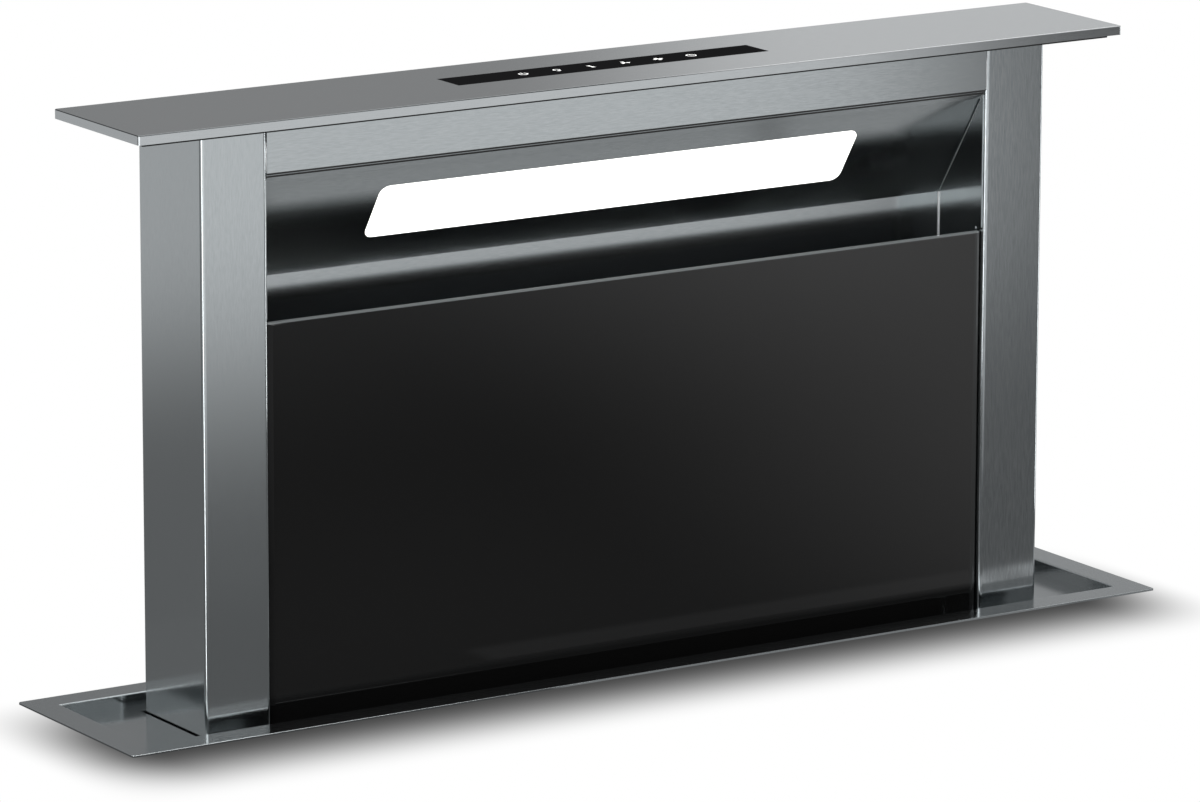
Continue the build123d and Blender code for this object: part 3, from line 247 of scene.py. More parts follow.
def painted_sheen_glass():
    """Toughened float glass, printed black behind: deep black under a weak clear mirror, with
    painted reflections over it: paler low down, a faint grey painted sheen towards its upper
    right, a painted darker shade along its foot, and painted pale highlights along its top and
    right bevels."""
    material, tree, place = start_material("toughened_black_glass")
    low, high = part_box("glass_panel")
    across_share, upward_share = 0.75, 0.4
    painted_sheen_starts, painted_sheen_full = 0.45, 1.15
    painted_foot_shade_ends, painted_foot_shade_gone = 12 * MM, 17 * MM
    bevel_starts, bevel_full, bevel_highlight_tone = 5.2 * MM, 4.6 * MM, 0.03
    brim_starts, brim_full, brim_highlight_tone = 1.3 * MM, 1.0 * MM, 0.6
    across, _, height = split_place(tree, place)
    rightward = remap(tree, across, low.x, high.x, 0.0, across_share)
    upward = remap(tree, height, 0.0, high.z, 0.0, upward_share)
    slant = compute(tree, "ADD", rightward, upward)
    # A painted sheen towards the upper right, over a body painted paler low down: painted
    # reflections
    painted_sheen = remap(tree, slant, painted_sheen_starts, painted_sheen_full, curve=SMOOTH)
    body = blend(tree, painted_sheen, blend(tree, upward, "#191919", "#030303"), "#373737")
    # A painted shade along the foot
    above_painted_foot_shade = remap(tree, height, painted_foot_shade_ends, painted_foot_shade_gone)
    printed = blend(tree, above_painted_foot_shade, "#0b0b0b", body)
    # Painted highlights on the right bevel and along the top edge
    painted_bevel_highlight = remap(tree, across, high.x - bevel_starts, high.x - bevel_full, 0.0, bevel_highlight_tone)
    painted_brim_highlight = remap(tree, height, high.z - brim_starts, high.z - brim_full, 0.0, brim_highlight_tone)
    edge = compute(tree, "MAXIMUM", painted_bevel_highlight, painted_brim_highlight)
    end_material(tree, {
        "Base Color": blend(tree, edge, printed, "#7d8283"), "Roughness": 0.03,
        "Specular IOR Level": 0.2})
    return material


def etched_glass():
    """Glass of the touch strip, etched so that fingers leave no marks: dead black even at a
    flat angle, with a faint unevenness in its gloss."""
    material, tree, place = start_material("etched_black_glass")
    clouds = noise(tree, place, 9.0)["Fac"]
    end_material(tree, {
        "Base Color": linear("#1c1c1d"), "Roughness": spread(tree, clouds, 0.4, 0.6),
        "Specular IOR Level": 0.0})
    return material


def lit_surface(name, color, light, rough, bumps, detail, weak, strong):
    """A white surface lit from behind, whose glow wanders between weak and strong."""
    material, tree, place = start_material(name)
    glow = spread(tree, noise(tree, place, bumps, detail)["Fac"], weak, strong)
    end_material(tree, {
        "Base Color": linear(color), "Roughness": rough, "Emission Color": linear(light),
        "Emission Strength": glow})
    return material


black_glass = painted_sheen_glass()
touch_glass = etched_glass()
# Opal acrylic over LEDs: an even white glow with a trace of each LED behind it
lamp_opal = lit_surface("opal_acrylic_lit", "#f4f4f0", "#fffdf8", 0.4, 40.0, 1.0, 1.5, 1.7)
# White lacquer lit by the keys' own lights: a little uneven from key to key
key_lacquer = lit_surface(
    "white_lacquer_backlit", "#f2f2ee", "#ffffff", 0.5, 60.0, 2.0, 0.8, 1.2)


# ---------------------------------------------------------------- sheet, castings, plastics

def zinc_sheet():
    """Hot-dip galvanised sheet: flat zinc crystals 8 to 15 mm across, each a shade apart."""
    material, tree, place = start_material("galvanised_steel_sheet")
    bent = noise(tree, place, 60.0)["Color"]
    shifted = add(tree, "ShaderNodeMix", {"Factor": 0.012, 4: place, 5: bent},
                  data_type="VECTOR").outputs[1]
    crystals = add(tree, "ShaderNodeTexVoronoi", {"Vector": shifted, "Scale": 90.0}).outputs
    shade = add(tree, "ShaderNodeSeparateColor", {"Color": crystals["Color"]}).outputs
    end_material(tree, {
        "Base Color": blend(tree, shade[0], "#8e9496", "#a9afb1"), "Metallic": 0.9,
        "Roughness": spread(tree, shade[1], 0.34, 0.5)})
    return material


def turned_metal(name, light, dark, rough, scale=(40.0, 40.0, 900.0)):
    """Turned, drawn or ground metal: fine lines round or along the piece."""
    material, tree, place = start_material(name)
    lines = noise(tree, stretched(tree, place, scale), 1.0, 3.0)["Fac"]
    end_material(tree, {
        "Base Color": blend(tree, lines, dark, light), "Metallic": 1.0,
        "Roughness": spread(tree, lines, rough * 1.2, rough * 0.8),
        "Normal": relief(tree, lines, 0.05)})
    return material


def moulded(name, light, dark, rough, grit=1.2, depth=0.15):
    """Moulded plastic, rubber or stoved paint: an even colour over a fine cast grain, grit in
    millimetres."""
    material, tree, place = start_material(name)
    grain = noise(tree, place, 1 / (grit * MM))["Fac"]
    clouds = noise(tree, place, 25.0, 3.0)["Fac"]
    end_material(tree, {
        "Base Color": blend(tree, clouds, dark, light),
        "Roughness": spread(tree, clouds, rough - 0.06, rough + 0.06),
        "Normal": relief(tree, grain, depth)})
    return material


def expanded_mesh():
    """Layers of expanded aluminium foil: diamonds 4 mm wide, bright strands, and holes painted
    dark, a painted shade for the depth seen through them.
    """
    material, tree, place = start_material("expanded_aluminium_mesh")
    turned = add(tree, "ShaderNodeMapping", {
        "Vector": place, "Rotation": (0, radians(45), 0), "Scale": (1.0, 0.3, 1.0)})
    strands = add(tree, "ShaderNodeTexVoronoi", {
        "Vector": turned.outputs[0], "Scale": 260.0, "Randomness": 0.15},
        feature="DISTANCE_TO_EDGE")
    # The holes are painted dark: painted shade
    hole = remap(tree, strands.outputs["Distance"], 0.05, 0.2)
    end_material(tree, {
        "Base Color": blend(tree, hole, "#b9bcbf", "#2b2c2d"), "Metallic": 1.0,
        "Roughness": 0.4, "Normal": relief(tree, hole, 0.6, 0.6 * MM, invert=True)})
    return material


zinc = zinc_sheet()
filter_mesh = expanded_mesh()
# Extruded aluminium, satin anodised: pale and soft
aluminium = turned_metal(
    "satin_anodised_aluminium", "#c3c6c9", "#b2b5b8", 0.34, (30.0, 900.0, 900.0))
# Ground and hardened steel: bright, with rings across the rod
ground_steel = turned_metal("ground_steel", "#c8cacc", "#a9acae", 0.2)
# Sintered bronze, oily and dull
bronze = turned_metal("sintered_bronze", "#b08a52", "#93703d", 0.38)
# Black ABS with a spark-eroded mould grain
black_abs = moulded("moulded_black_abs", "#232426", "#1b1c1e", 0.5)
# Glass-filled nylon wheel: dark grey, faintly streaked
fan_nylon = moulded("glass_filled_nylon", "#45484b", "#383b3e", 0.55, 2.0)
# Stoved enamel on the motors
motor_enamel = moulded("stoved_black_enamel", "#2b2d30", "#222427", 0.36, 3.0, 0.06)
# EPDM rubber: matt and slightly dusty
rubber = moulded("epdm_rubber", "#1d1d1d", "#151515", 0.7, 0.8)
# Closed-cell foam: open pores of about a millimetre
foam = moulded("closed_cell_foam", "#2c2c2c", "#202020", 0.85, 1.0, 0.5)
# White solder mask over glass fibre
solder_mask = moulded("white_solder_mask", "#e6e8e4", "#dadcd8", 0.4, 1.5, 0.05)

finishes = {
    steel_upright: ("column_left",),
    steel_painted_shade: ("column_right",),
    steel_along: (
        "header_panel", "pocket_sheet", "cheek_left", "cheek_right", "rear_panel",
        "drip_trough"),
    steel_satin: ("top_plate",),
    steel_rim: ("rim_frame",),
    black_glass: ("glass_panel",),
    touch_glass: ("touch_strip",),
    lamp_opal: ("lamp_lens",),
    zinc: (
        "housing_front", "housing_back", "housing_left", "housing_right", "housing_floor",
        "foot_rails", "worktop_clamps", "drive_beam", "lower_frame", "plate_tray",
        "hinge_brackets", "scroll_case", "scroll_cover", "outlet_spigot", "backflow_flap",
        "guide_rails", "filter_cradle"),
    aluminium: ("filter_frame_left", "filter_frame_right", "lamp_housing"),
    filter_mesh: ("filter_meshes",),
    ground_steel: (
        "lead_screw_left", "lead_screw_right", "hinge_pins", "flap_pin", "clamp_screws",
        "upper_bearings", "lower_bearings"),
    bronze: ("lift_nuts",),
    black_abs: (
        "touch_box", "carriages", "door_catches", "limit_switches", "power_box",
        "power_box_cover", "cable_gland", "screw_pulley_left", "screw_pulley_right"),
    fan_nylon: ("impeller",),
    motor_enamel: ("lift_motor", "blower_motor", "door_backing"),
    rubber: ("plate_seal", "timing_belt"),
    foam: ("worktop_gasket",),
    solder_mask: ("led_board",),
}
for finish, names in finishes.items():
    for name in names:
        slots = nodes[name].data.materials
        slots.clear()
        slots.append(finish)


# ---------------------------------------------------------------- mesh helpers

def make_piece(name, mesh, material, body):
    """Links a finished mesh as a piece of the object, riding on a CAD body."""
    piece = bpy.data.objects.new(name, mesh)
    bpy.context.scene.collection.objects.link(piece)
    if material is not None:
        mesh.materials.clear()
        mesh.materials.append(material)
    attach(piece, body)


def keep_mesh(sheet, name, smooth=True):
    """Turns a bmesh into a named mesh."""
    for face in sheet.faces:
        face.smooth = smooth
    mesh = bpy.data.meshes.new(name)
    sheet.to_mesh(mesh)
    sheet.free()
    return mesh


def sweep(rings, closed=False):
    """A mesh through rings of points in millimetres, each ring as long as the next."""
    sheet = bmesh.new()
    rows = [[sheet.verts.new(Vector(point) * MM) for point in ring] for ring in rings]
    for first, second in zip(rows, rows[1:]):
        for i in range(len(first) if closed else len(first) - 1):
            j = (i + 1) % len(first)
            sheet.faces.new((first[i], first[j], second[j], second[i]))
    if closed:
        sheet.faces.new(rows[0][::-1])
        sheet.faces.new(rows[-1])
    bmesh.ops.recalc_face_normals(sheet, faces=sheet.faces)
    return sheet


# ---------------------------------------------------------------- marks on the touch strip

KEY_PITCH = 30.3
KEY_FIRST = -71.3
KEY_Y = 3.45
PRINT_LIFT = 0.03


def flat_band(sheet, points, width, closed=False):
    """A flat printed line of one width through the points, in millimetres."""
    count = len(points)
    sides = []
    for i, point in enumerate(points):
        before = points[i - 1] if i or closed else points[i]
        after = points[(i + 1) % count] if i < count - 1 or closed else points[i]
        along = (after - before).normalized()
        across = Vector((-along.y, along.x)) * width / 2
        sides.append([sheet.verts.new((*(point + side * across), 0)) for side in (1, -1)])
    for i in range(count if closed else count - 1):
        a, b = sides[i], sides[(i + 1) % count]
        sheet.faces.new((a[0], a[1], b[1], b[0]))


def arc(center, radius, start, end, steps=20):
    """Points on an arc, angles in degrees."""
    angles = [radians(start + (end - start) * i / steps) for i in range(steps + 1)]
    return [Vector(center) + radius * Vector((cos(a), sin(a))) for a in angles]


def draw_power(sheet, x):
    """A ring, open at its top, with a bar through the opening."""
    stroke, radius = 1.0, 3.4
    flat_band(sheet, arc((x, 0), radius, 125, 415), stroke)
    flat_band(sheet, [Vector((x, 0.6)), Vector((x, 4.6))], stroke)


def draw_lamp(sheet, x):
    """A bulb over the two lines of its cap."""
    stroke, radius, center, half_cap = 0.9, 2.6, 1.0, 1.5
    flat_band(sheet, arc((x, center), radius, -50, 230), stroke)
    for y in (-1.9, -3.4):
        flat_band(sheet, [Vector((x - half_cap, y)), Vector((x + half_cap, y))], stroke)


def draw_fan(sheet, x, blades):
    """A fan of two, three or four blades round a small hub."""
    hub_stroke, hub_radius, hub_steps = 0.7, 0.55, 11
    blade = [Vector(corner) for corner in ((0.3, 0.4), (1.2, 3.9), (-1.6, 4.3), (-1.3, 1.6))]
    for i in range(blades):
        turn = Matrix.Rotation(2 * pi * i / blades, 2)
        corners = [turn @ point + Vector((x, 0)) for point in blade]
        sheet.faces.new([sheet.verts.new((*point, 0)) for point in corners])
    flat_band(sheet, arc((x, 0), hub_radius, 0, 342, hub_steps), hub_stroke, closed=True)


def draw_clock(sheet, x):
    """A ring with two hands."""
    radius, steps, ring_stroke, hand_stroke = 3.8, 35, 0.9, 0.8
    flat_band(sheet, arc((x, 0), radius, 0, 350, steps), ring_stroke, closed=True)
    hands = [Vector((x, 2.6)), Vector((x, 0)), Vector((x + 1.9, -1.1))]
    flat_band(sheet, hands, hand_stroke)


def print_marks():
    """Six plain key marks: power, lamp, three fan speeds and a timer."""
    sheet = bmesh.new()
    draw_power(sheet, KEY_FIRST)
    draw_lamp(sheet, KEY_FIRST + KEY_PITCH)
    for key, blades in ((2, 2), (3, 3), (4, 4)):
        draw_fan(sheet, KEY_FIRST + KEY_PITCH * key, blades)
    draw_clock(sheet, KEY_FIRST + KEY_PITCH * 5)
    seat = Matrix.Translation((0, KEY_Y * MM, PLATE_TOP + PRINT_LIFT * MM))
    bmesh.ops.transform(sheet, matrix=seat @ Matrix.Scale(MM, 4), verts=sheet.verts)
    for face in sheet.faces:
        face.normal_update()
        if face.normal.z < 0:
            face.normal_flip()
    return keep_mesh(sheet, "key_marks", smooth=False)


make_piece("key_marks", print_marks(), key_lacquer, "tower")


# ---------------------------------------------------------------- intake pocket and header

# Its section in millimetres: x across the unit, then depth and height
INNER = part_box("header_panel")[1].x / MM
TOWER_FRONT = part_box("header_panel")[0].y / MM
HEADER_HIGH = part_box("header_panel")[1].z / MM
HEADER_LOW = 413.0
CRADLE_TOP = 267.0
CHEEK = 0.8
LIP = Vector((TOWER_FRONT, HEADER_LOW))
CORNER = Vector((14.8, 322.5))
SLOPE = (CORNER - LIP).normalized()
OFF_SLOPE = Vector((SLOPE.y, -SLOPE.x))


def pocket_fold(side, radius, path, offs):
    """A bend between a cheek and the sheet beside it, seen as a pale line from its painted
    highlight: path is its course in section, offs the way out of the sheet at each point."""
    x = side * (INNER - CHEEK)
    steps = 8
    angles = [pi / 2 * i / steps for i in range(steps + 1)]
    rings = []
    for point, off in zip(path, offs):
        spots = [point + radius * (1 - sin(a)) * off for a in angles]
        rings.append([(x - side * radius * (1 - cos(a)), spot.x, spot.y)
                      for a, spot in zip(angles, spots)])
    return sweep(rings)


def add_folds():
    """The bends along both ends of the pocket's slope and of its upright wall, in paler steel: a
    painted highlight.
    """
    slope_radius, wall_radius, below_beads = 0.45, 1.25, 4.0
    off_wall = Vector((-1, 0))
    between = (OFF_SLOPE + off_wall).normalized()
    off_corner = between / between.dot(off_wall)
    slope = [LIP + below_beads * SLOPE, CORNER], [OFF_SLOPE, off_corner]
    wall = [CORNER, Vector((CORNER.x, CRADLE_TOP))], [off_corner, off_wall]
    for side, word in SIDES:
        for kind, radius, course in (("slope", slope_radius, slope), ("wall", wall_radius, wall)):
            name = f"{kind}_fold_{word}"
            mesh = keep_mesh(pocket_fold(side, radius, *course), name)
            make_piece(name, mesh, steel_painted_highlight, "tower")


def header_painted_shade_beads():
    """Two thin black beads along the header's lower edge, between header and slope: painted
    shade, dark lines that stand for the shadow gaps there.
    """
    half_wide, half_high, steps = 0.75, 0.45, 10
    tip, shoulder, tip_size = 0.2, 0.7, 0.55
    stations = ((-INNER + tip, tip_size), (-INNER + shoulder, 1.0),
                (INNER - shoulder, 1.0), (INNER - tip, tip_size))
    beads = bmesh.new()
    for start in (0.9, 3.6):
        middle = LIP + start * SLOPE
        rings = []
        for x, swell in stations:
            ring = []
            for i in range(steps):
                a = 2 * pi * i / steps
                spot = middle + swell * (
                    half_wide * cos(a) * SLOPE + half_high * sin(a) * OFF_SLOPE)
                ring.append((x, spot.x, spot.y))
            rings.append(ring)
        bead = keep_mesh(sweep(rings, closed=True), "bead")
        beads.from_mesh(bead)
        bpy.data.meshes.remove(bead)
    return keep_mesh(beads, "header_painted_shade_beads")


def header_highlight_seam(side):
    """The seam between a column and the header: a half-round bead in the gap, in paler steel, a
    painted highlight that draws the bright line there.
    """
    gap_middle, half_wide, sunk, proud, steps = 0.5, 0.48, 0.7, 0.6, 12
    stations = ((HEADER_LOW + 0.2, 0.6), (HEADER_LOW + 0.8, 1.0), (HEADER_HIGH - 0.2, 1.0))
    rings = []
    for z, swell in stations:
        ring = []
        for i in range(steps + 1):
            a = pi * i / steps
            ring.append((side * (INNER + gap_middle) + half_wide * swell * cos(a),
                         TOWER_FRONT + sunk - proud * swell * sin(a), z))
        rings.append(ring)
    return keep_mesh(sweep(rings, closed=True), "header_highlight_seam")


add_folds()
make_piece("header_painted_shade_beads", header_painted_shade_beads(), rubber, "tower")
for side, word in SIDES:
    make_piece(f"header_highlight_seam_{word}", header_highlight_seam(side), steel_painted_highlight, "tower")


# ---------------------------------------------------------------- screw heads

FRONT = (0, -1, 0)
BACK = (0, 1, 0)


def screw_tree():
    """Geometry Nodes that set a button-head screw on every point, its axis along the point's
    aim."""
    tree = bpy.data.node_groups.new("button_head_screws", "GeometryNodeTree")
    tree.interface.new_socket("Geometry", in_out="INPUT", socket_type="NodeSocketGeometry")
    inputs = {}
    for name in ("Radius", "Height", "Recess"):
        socket = tree.interface.new_socket(name, in_out="INPUT", socket_type="NodeSocketFloat")
        inputs[name] = socket.identifier
    metal = tree.interface.new_socket(
        "Finish", in_out="INPUT", socket_type="NodeSocketMaterial")
    inputs["Finish"] = metal.identifier
    tree.interface.new_socket("Geometry", in_out="OUTPUT", socket_type="NodeSocketGeometry")
    given = add(tree, "NodeGroupInput").outputs

    def cone(corners, top, bottom, depth, rise=None):
        """An open cone of the head, at a height above its seat."""
        made = add(tree, "GeometryNodeMeshCone", {
            "Vertices": corners, "Radius Top": top, "Radius Bottom": bottom, "Depth": depth},
            fill_type="NONE").outputs["Mesh"]
        if rise is None:
            return made
        lifted = add(tree, "ShaderNodeCombineXYZ", {"Z": rise}).outputs[0]
        return add(tree, "GeometryNodeTransform", {
            "Geometry": made, "Translation": lifted}).outputs[0]

    radius, height, recess = given["Radius"], given["Height"], given["Recess"]
    half = compute(tree, "MULTIPLY", height, 0.5)
    crown = compute(tree, "MULTIPLY", radius, 0.62)
    hole = cone(6, recess, 0.1 * MM, half, half)
    hole_in = add(tree, "GeometryNodeFlipFaces", {"Mesh": hole}).outputs[0]
    face = cone(16, recess, crown, 0.05 * MM, height)
    dome = cone(16, crown, radius, half, half)
    skirt = cone(16, radius, radius, half)
    head = add(tree, "GeometryNodeJoinGeometry")
    for part in (hole_in, face, dome, skirt):
        tree.links.new(part, head.inputs[0])
    points = add(tree, "GeometryNodeMeshToPoints", {"Mesh": given["Geometry"]})
    aim = add(tree, "GeometryNodeInputNamedAttribute", {"Name": "aim"},
              data_type="FLOAT_VECTOR")
    turn = add(tree, "FunctionNodeAlignRotationToVector", {"Vector": aim.outputs["Attribute"]},
               axis="Z")
    placed = add(tree, "GeometryNodeInstanceOnPoints", {
        "Points": points.outputs[0], "Instance": head.outputs[0], "Rotation": turn.outputs[0]})
    real = add(tree, "GeometryNodeRealizeInstances", {"Geometry": placed.outputs[0]})
    finished = add(tree, "GeometryNodeSetMaterial", {
        "Geometry": real.outputs[0], "Material": given["Finish"]})
    add(tree, "NodeGroupOutput", {0: finished.outputs[0]})
    return tree, inputs


SCREWS, SCREW_INPUTS = screw_tree()


def set_screws(name, places, body, radius, height):
    """Screws on one body. Each place is a point and the direction its head looks, in
    millimetres."""
    seats = bpy.data.meshes.new(name + "_seats")
    seats.from_pydata([Vector(point) * MM for point, _ in places], [], [])
    aims = seats.attributes.new("aim", "FLOAT_VECTOR", "POINT")
    for i, (_, aim) in enumerate(places):
        aims.data[i].vector = aim
    holder = bpy.data.objects.new(name + "_seats", seats)
    bpy.context.scene.collection.objects.link(holder)
    modifier = holder.modifiers.new("screws", "NODES")
    modifier.node_group = SCREWS
    modifier[SCREW_INPUTS["Radius"]] = radius * MM
    modifier[SCREW_INPUTS["Height"]] = height * MM
    modifier[SCREW_INPUTS["Recess"]] = 0.45 * radius * MM
    modifier[SCREW_INPUTS["Finish"]] = ground_steel
    evaluated = holder.evaluated_get(bpy.context.evaluated_depsgraph_get())
    mesh = bpy.data.meshes.new_from_object(evaluated)
    bpy.data.objects.remove(holder)
    make_piece(name, mesh, None, body)


def screw_row(first, last, count, aim):
    """Evenly spaced places on a line, in millimetres."""
    first, last = Vector(first), Vector(last)
    return [(first.lerp(last, i / (count - 1)), aim) for i in range(count)]


def housing_screws():
    """Sheet screws up both sides, along the foot, and behind at the drive beam."""
    side_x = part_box("housing_front")[1].x / MM
    side_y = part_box("housing_back")[1].y / MM
    low_z = FLOOR / MM + 10
    column_in, row_in, column_low, column_high = 9, 90, 30, -60
    foot_row, beam_row = 10, -565
    places = []
    for x in (-side_x + column_in, side_x - column_in):
        for y, aim in ((side_y, BACK), (-side_y, FRONT)):
            places += screw_row((x, y, low_z + column_low), (x, y, column_high), 6, aim)
    left, right = -side_x + row_in, side_x - row_in
    for y, aim in ((side_y, BACK), (-side_y, FRONT)):
        places += screw_row((left, y, low_z + foot_row), (right, y, low_z + foot_row), 6, aim)
    places += screw_row((left, side_y, beam_row), (right, side_y, beam_row), 4, BACK)
    return places


BLOWER_Z = -300.0
cover_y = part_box("scroll_cover")[0].y / MM


def cover_screws():
    """Scroll cover: screws set in from the spiral's edge, and along the outlet's sides."""
    edge_in, first_arc, arc_step, outlet_high = 7.0, 104.0, 16.0, 100
    places = []
    for quarter, (x, z), angles in ((0, (-8, 8), (20, 55, 85)), (1, (-8, -8), (30, 75)),
                                    (2, (8, -8), (25, 65))):
        reach = first_arc + quarter * arc_step - edge_in
        for angle in angles:
            a = radians(90 * quarter + angle)
            spot = (x + reach * cos(a), cover_y, BLOWER_Z + z + reach * sin(a))
            places.append((spot, FRONT))
    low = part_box("scroll_cover")[0].z / MM + edge_in
    high = low + outlet_high
    places += screw_row((40, cover_y, low), (140, cover_y, low), 3, FRONT)
    places += screw_row((120, cover_y, high), (140, cover_y, high), 2, FRONT)
    return places


def motor_bolts():
    """Four bolts through the motor's flange."""
    circle, flange_y = 53.0, cover_y - 3.0
    angles = [radians(45 + 90 * i) for i in range(4)]
    return [((circle * cos(a), flange_y, BLOWER_Z + circle * sin(a)), FRONT) for a in angles]


def lid_screws():
    """One screw in each corner of the power box's lid."""
    low, high = [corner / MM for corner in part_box("power_box_cover")]
    inset = 9
    return [((x, low.y, z), FRONT) for x in (low.x + inset, high.x - inset)
            for z in (low.z + inset, high.z - inset)]


def rear_screws():
    """Rear sheet of the tower: screws up both of its edges."""
    low, high = [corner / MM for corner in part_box("rear_panel")]
    inset, above_painted_foot_shade, below_top = 8, 30, 20
    places = []
    for x in (low.x + inset, high.x - inset):
        places += screw_row(
            (x, high.y, low.z + above_painted_foot_shade), (x, high.y, high.z - below_top), 6, BACK)
    return places


set_screws("housing_screws", housing_screws(), "housing", 3.0, 1.6)
set_screws("scroll_screws", cover_screws(), "housing", 2.6, 1.4)
set_screws("motor_bolts", motor_bolts(), "housing", 3.4, 2.4)
set_screws("lid_screws", lid_screws(), "housing", 2.6, 1.4)
set_screws("rear_screws", rear_screws(), "tower", 2.4, 1.2)


# ---------------------------------------------------------------- stage

# Worktop: its edges and its cut-out, in metres
TOP_RIGHT, TOP_FRONT, TOP_BACK = 0.66, -0.5, 0.25
TOP_THICK = 0.04
CUT_X = 0.445
CUT_Y = 0.0685
FLOOR_REACH = 15

# Where the lines on the columns' corners are mirrored from, and which way they run
CORNER_LEFT = (-0.378, -0.045)
CORNERS_MIDDLE = (-0.03, -0.045)
CORNER_RIGHT = (-0.324, -0.045)
TO_FRONT_LEFT = -2.142
TO_RIGHT = 1.82


def slab_mesh():
    """The worktop with its cut-out, as one ring; corners go round once, seen from above."""
    outer = ((-TOP_RIGHT, TOP_FRONT), (TOP_RIGHT, TOP_FRONT), (TOP_RIGHT, TOP_BACK),
             (-TOP_RIGHT, TOP_BACK))
    inner = ((-CUT_X, -CUT_Y), (CUT_X, -CUT_Y), (CUT_X, CUT_Y), (-CUT_X, CUT_Y))
    sheet = bmesh.new()
    rims = [[sheet.verts.new((*corner, 0)) for corner in corners] for corners in (outer, inner)]
    cover = []
    for i in range(4):
        j = (i + 1) % 4
        cover.append(sheet.faces.new((rims[0][i], rims[0][j], rims[1][j], rims[1][i])))
    block = bmesh.ops.extrude_face_region(sheet, geom=cover)
    moved = [v for v in block["geom"] if isinstance(v, bmesh.types.BMVert)]
    bmesh.ops.translate(sheet, verts=moved, vec=(0, 0, -TOP_THICK))
    bmesh.ops.recalc_face_normals(sheet, faces=sheet.faces)
    return sheet


def floor_mesh():
    """A square sheet at the height of the unit's feet."""
    sheet = bmesh.new()
    corners = ((-1, -1), (1, -1), (1, 1), (-1, 1))
    sheet.faces.new([sheet.verts.new((x * FLOOR_REACH, y * FLOOR_REACH, FLOOR))
                     for x, y in corners])
    return sheet


def set_stage(name, sheet, material):
    """Links a piece of the stage."""
    mesh = keep_mesh(sheet, name, smooth=False)
    mesh.materials.append(material)
    piece = bpy.data.objects.new(name, mesh)
    bpy.context.scene.collection.objects.link(piece)


def patch(tree, values, fades, strength):
    """A soft patch of light or shade: strength times its fades, each (value, where it is none,
    where it is full)."""
    level = strength
    for which, none, full in fades:
        fade = remap(tree, values[which], none, full, curve=SMOOTH)
        level = compute(tree, "MULTIPLY", fade, level)
    return level


def ray(tree, values, start, aim, width, strength):
    """A soft-edged beam that runs from a point in the direction aim; aim and width in radians,
    from +Y towards +X."""
    apart = [compute(tree, "SUBTRACT", values[axis], at) for axis, at in zip("xy", start)]
    off = compute(tree, "SUBTRACT", compute(tree, "ARCTAN2", *apart), aim)
    beside = compute(tree, "ABSOLUTE", off)
    fade = remap(tree, beside, width, 0.7 * width, curve=SMOOTH)
    return compute(tree, "MULTIPLY", fade, strength)


def total(tree, levels):
    """The sum of several levels."""
    level = levels[0]
    for other in levels[1:]:
        level = compute(tree, "ADD", level, other)
    return level


def show(tree, end, shown, mirrored, lit):
    """Shows one shader to the camera, one to metal and glass, and one to the light that fills
    the room."""
    path = add(tree, "ShaderNodeLightPath").outputs
    bent = compute(tree, "MAXIMUM", path["Is Glossy Ray"], path["Is Transmission Ray"])
    base = add(tree, "ShaderNodeMixShader", {0: bent, 1: lit, 2: mirrored}).outputs[0]
    final = add(tree, "ShaderNodeMixShader", {0: path["Is Camera Ray"], 1: base, 2: shown})
    add(tree, end, {"Surface": final.outputs[0]})


def glowing(tree, kind, color, strength):
    """A shader that gives off light by itself."""
    return add(tree, kind, {"Color": color, "Strength": strength}).outputs[0]


def show_stage(tree, shown_level, mirrored_levels):
    """Ends a material of the stage: its level for the camera and those that metal mirrors."""
    shown = glowing(tree, "ShaderNodeEmission", WHITE, shown_level)
    mirrored = glowing(tree, "ShaderNodeEmission", DAYLIGHT, total(tree, mirrored_levels))
    lit = add(tree, "ShaderNodeBsdfDiffuse", {"Color": STAGE_GREY}).outputs[0]
    show(tree, "ShaderNodeOutputMaterial", shown, mirrored, lit)


def pale_worktop():
    """Pale worktop: white to the camera apart from a painted soft shadow of the rim, drawn by
    place, which lies towards the cook as in the photograph; metal mirrors it as a dim surface."""
    material, tree, place = start_material("pale_worktop")
    values = dict(zip("xy", split_place(tree, place)))
    painted_shadow_depth, display_gamma, ahead_power = -0.73, 2.2, 1.3
    painted_shadow_end, painted_shadow_full = -0.218, -0.071
    # A painted shadow of the rim, drawn by place: it fades out in front of the rim, behind it and
    # past its ends
    ahead = remap(tree, values["y"], painted_shadow_end, painted_shadow_full, curve=SMOOTH)
    softer = compute(tree, "POWER", ahead, ahead_power)
    shade = patch(
        tree, values, (("y", 0.105, -0.05), ("x", -0.535, -0.435), ("x", 0.494, 0.39)), softer)
    tone = compute(tree, "MULTIPLY_ADD", shade, painted_shadow_depth, 1.0)
    # Columns and glass mirror a strip of the worktop just in front of the unit
    strip = ("y", -0.14, -0.122)
    left_end, right_end = ("x", -0.105, -0.085), ("x", 0.6, 0.565)
    line = ray(tree, values, CORNER_LEFT, TO_FRONT_LEFT, 0.14, 3.0)
    show_stage(tree, compute(tree, "POWER", tone, display_gamma), [
        0.138,
        patch(tree, values, (("y", 0.05, 0.09),), 0.027),
        patch(tree, values, (strip, left_end, ("x", 0.41, 0.36)), 0.21),
        patch(tree, values, (strip, left_end, right_end), 0.06),
        patch(tree, values, (strip, ("x", 0.38, 0.43), right_end), 0.21),
        patch(tree, values, (("y", -0.1, -0.11),), line),
    ])
    return material


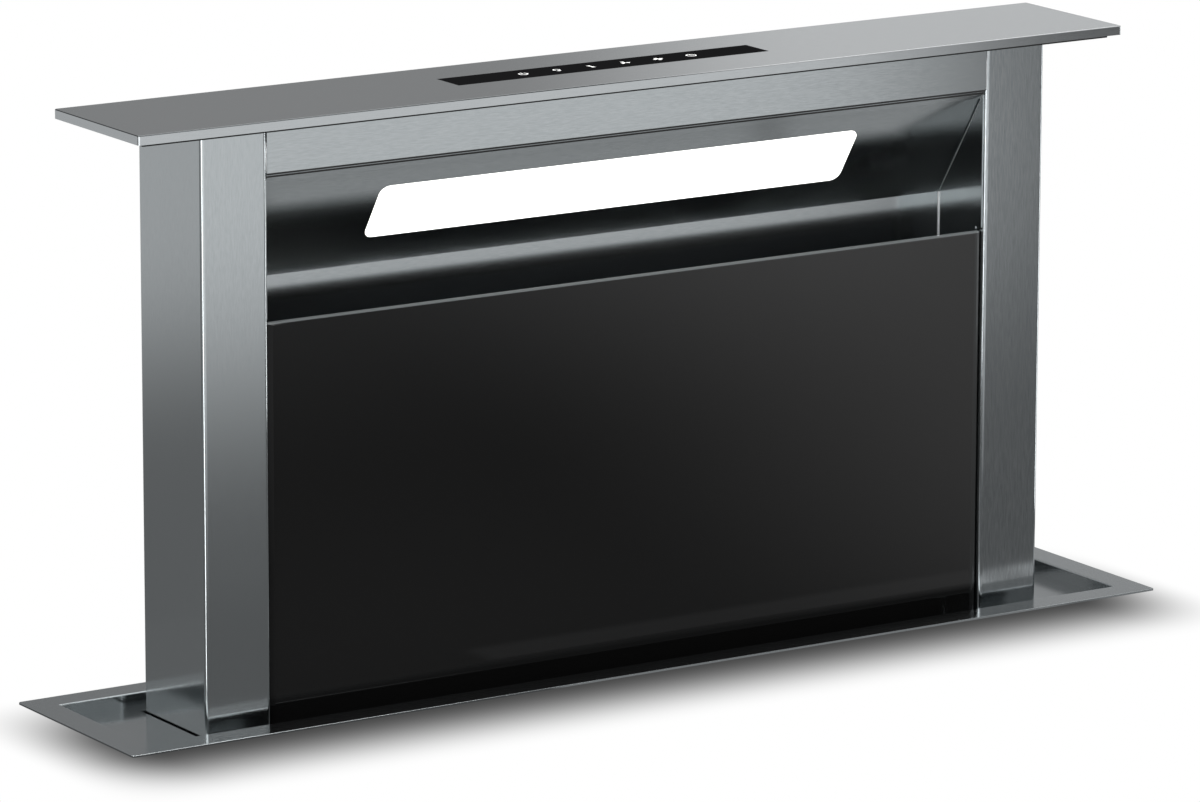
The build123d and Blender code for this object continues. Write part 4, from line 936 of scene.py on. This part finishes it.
def pale_floor():
    """Studio floor far below: white to the camera. Metal mirrors its lit parts, ahead of the
    object and behind it on both sides, and two bright beams that draw the white lines on the
    columns' corners."""
    material, tree, place = start_material("pale_studio_floor")
    values = dict(zip("xy", split_place(tree, place)))
    beside = compute(tree, "MULTIPLY_ADD", values["y"], 0.688, 3.535)
    values["slanted"] = compute(tree, "ADD", values["x"], beside)
    values["away"] = add(
        tree, "ShaderNodeVectorMath", {0: place}, operation="LENGTH").outputs["Value"]
    behind_left = ("x", 1.0, -0.5)
    show_stage(tree, 1.0, [
        0.135,
        # Ahead, up to a slanted edge
        patch(tree, values, (("y", -3.1, -4.6), ("slanted", 4.18, 3.62)), 0.64),
        # Behind on the left, far and near
        patch(tree, values, (("y", 3.35, 4.5), behind_left), 0.37),
        patch(tree, values, (("y", 1.0, 2.0), behind_left), 0.025),
        # Far out on the left, and behind on the right
        patch(tree, values, (("away", 3.6, 5.4), ("x", -0.2, -1.0), ("y", 1.5, 0.5)), 0.3),
        patch(tree, values, (("x", 1.2, 2.2), ("y", 0.8, 1.8)), 0.4),
        ray(tree, values, CORNERS_MIDDLE, TO_FRONT_LEFT, 0.14, 3.5),
        ray(tree, values, CORNER_RIGHT, TO_RIGHT, 0.13, 3.5),
    ])
    return material


def studio_world():
    """Plain studio: even light on the object, white behind it for the camera, and for metal a
    pale room that is brighter behind the unit's right, overhead and at its front left."""
    even_level = 0.6
    world = bpy.data.worlds.new("studio")
    world.use_nodes = True
    tree = world.node_tree
    tree.nodes.clear()
    aim = add(tree, "ShaderNodeTexCoord").outputs["Generated"]
    across, back, height = split_place(tree, aim)
    turn = compute(tree, "ARCTAN2", across, back)
    values = {"turn": turn, "height": height, "back": back}
    levels = [
        0.31,
        # Behind on the left
        patch(tree, values, (("back", -0.2, 0.2), ("turn", 0.38, 0.2)), 0.1),
        # Low on the right
        patch(tree, values, (
            ("turn", 0.555, 0.6), ("turn", 2.2, 1.4), ("height", 0.27, 0.19)), 0.42),
        # Overhead, and a bright panel high up behind
        patch(tree, values, (("height", 0.55, 0.9),), 0.5),
        patch(tree, values, (
            ("back", 0.15, 0.3), ("back", 0.8, 0.6), ("height", 0.45, 0.6)), 1.6),
        # Two windows at the front left
        patch(tree, values, (
            ("turn", -2.4, -2.3), ("turn", -1.9, -2.0), ("height", 0.5, 0.3)), 3.0),
        patch(tree, values, (
            ("turn", -2.9, -2.72), ("turn", -2.42, -2.55), ("height", 0.14, 0.2),
            ("height", 0.42, 0.35)), 0.6),
    ]
    mirrored = glowing(tree, "ShaderNodeBackground", DAYLIGHT, total(tree, levels))
    even = glowing(tree, "ShaderNodeBackground", WHITE, even_level)
    white = glowing(tree, "ShaderNodeBackground", WHITE, 1.0)
    show(tree, "ShaderNodeOutputWorld", white, mirrored, even)
    bpy.context.scene.world = world


def soft_box(name, place, size, power):
    """A square area lamp that looks at the middle of the raised unit."""
    target = Vector((0, 0, 0.1))
    lamp = bpy.data.lights.new(name, "AREA")
    lamp.shape = "RECTANGLE"
    lamp.size = size
    lamp.size_y = size
    lamp.energy = power
    holder = bpy.data.objects.new(name, lamp)
    turn = (target - Vector(place)).to_track_quat("-Z", "Y")
    holder.matrix_world = Matrix.Translation(place) @ turn.to_matrix().to_4x4()
    bpy.context.scene.collection.objects.link(holder)


set_stage("worktop", slab_mesh(), pale_worktop())
set_stage("floor", floor_mesh(), pale_floor())
studio_world()
soft_box("soft_box_left", (-3.2, -1.6, 2.4), 2.0, 90)
soft_box("soft_box_front", (1.2, -3.4, 2.6), 1.8, 50)
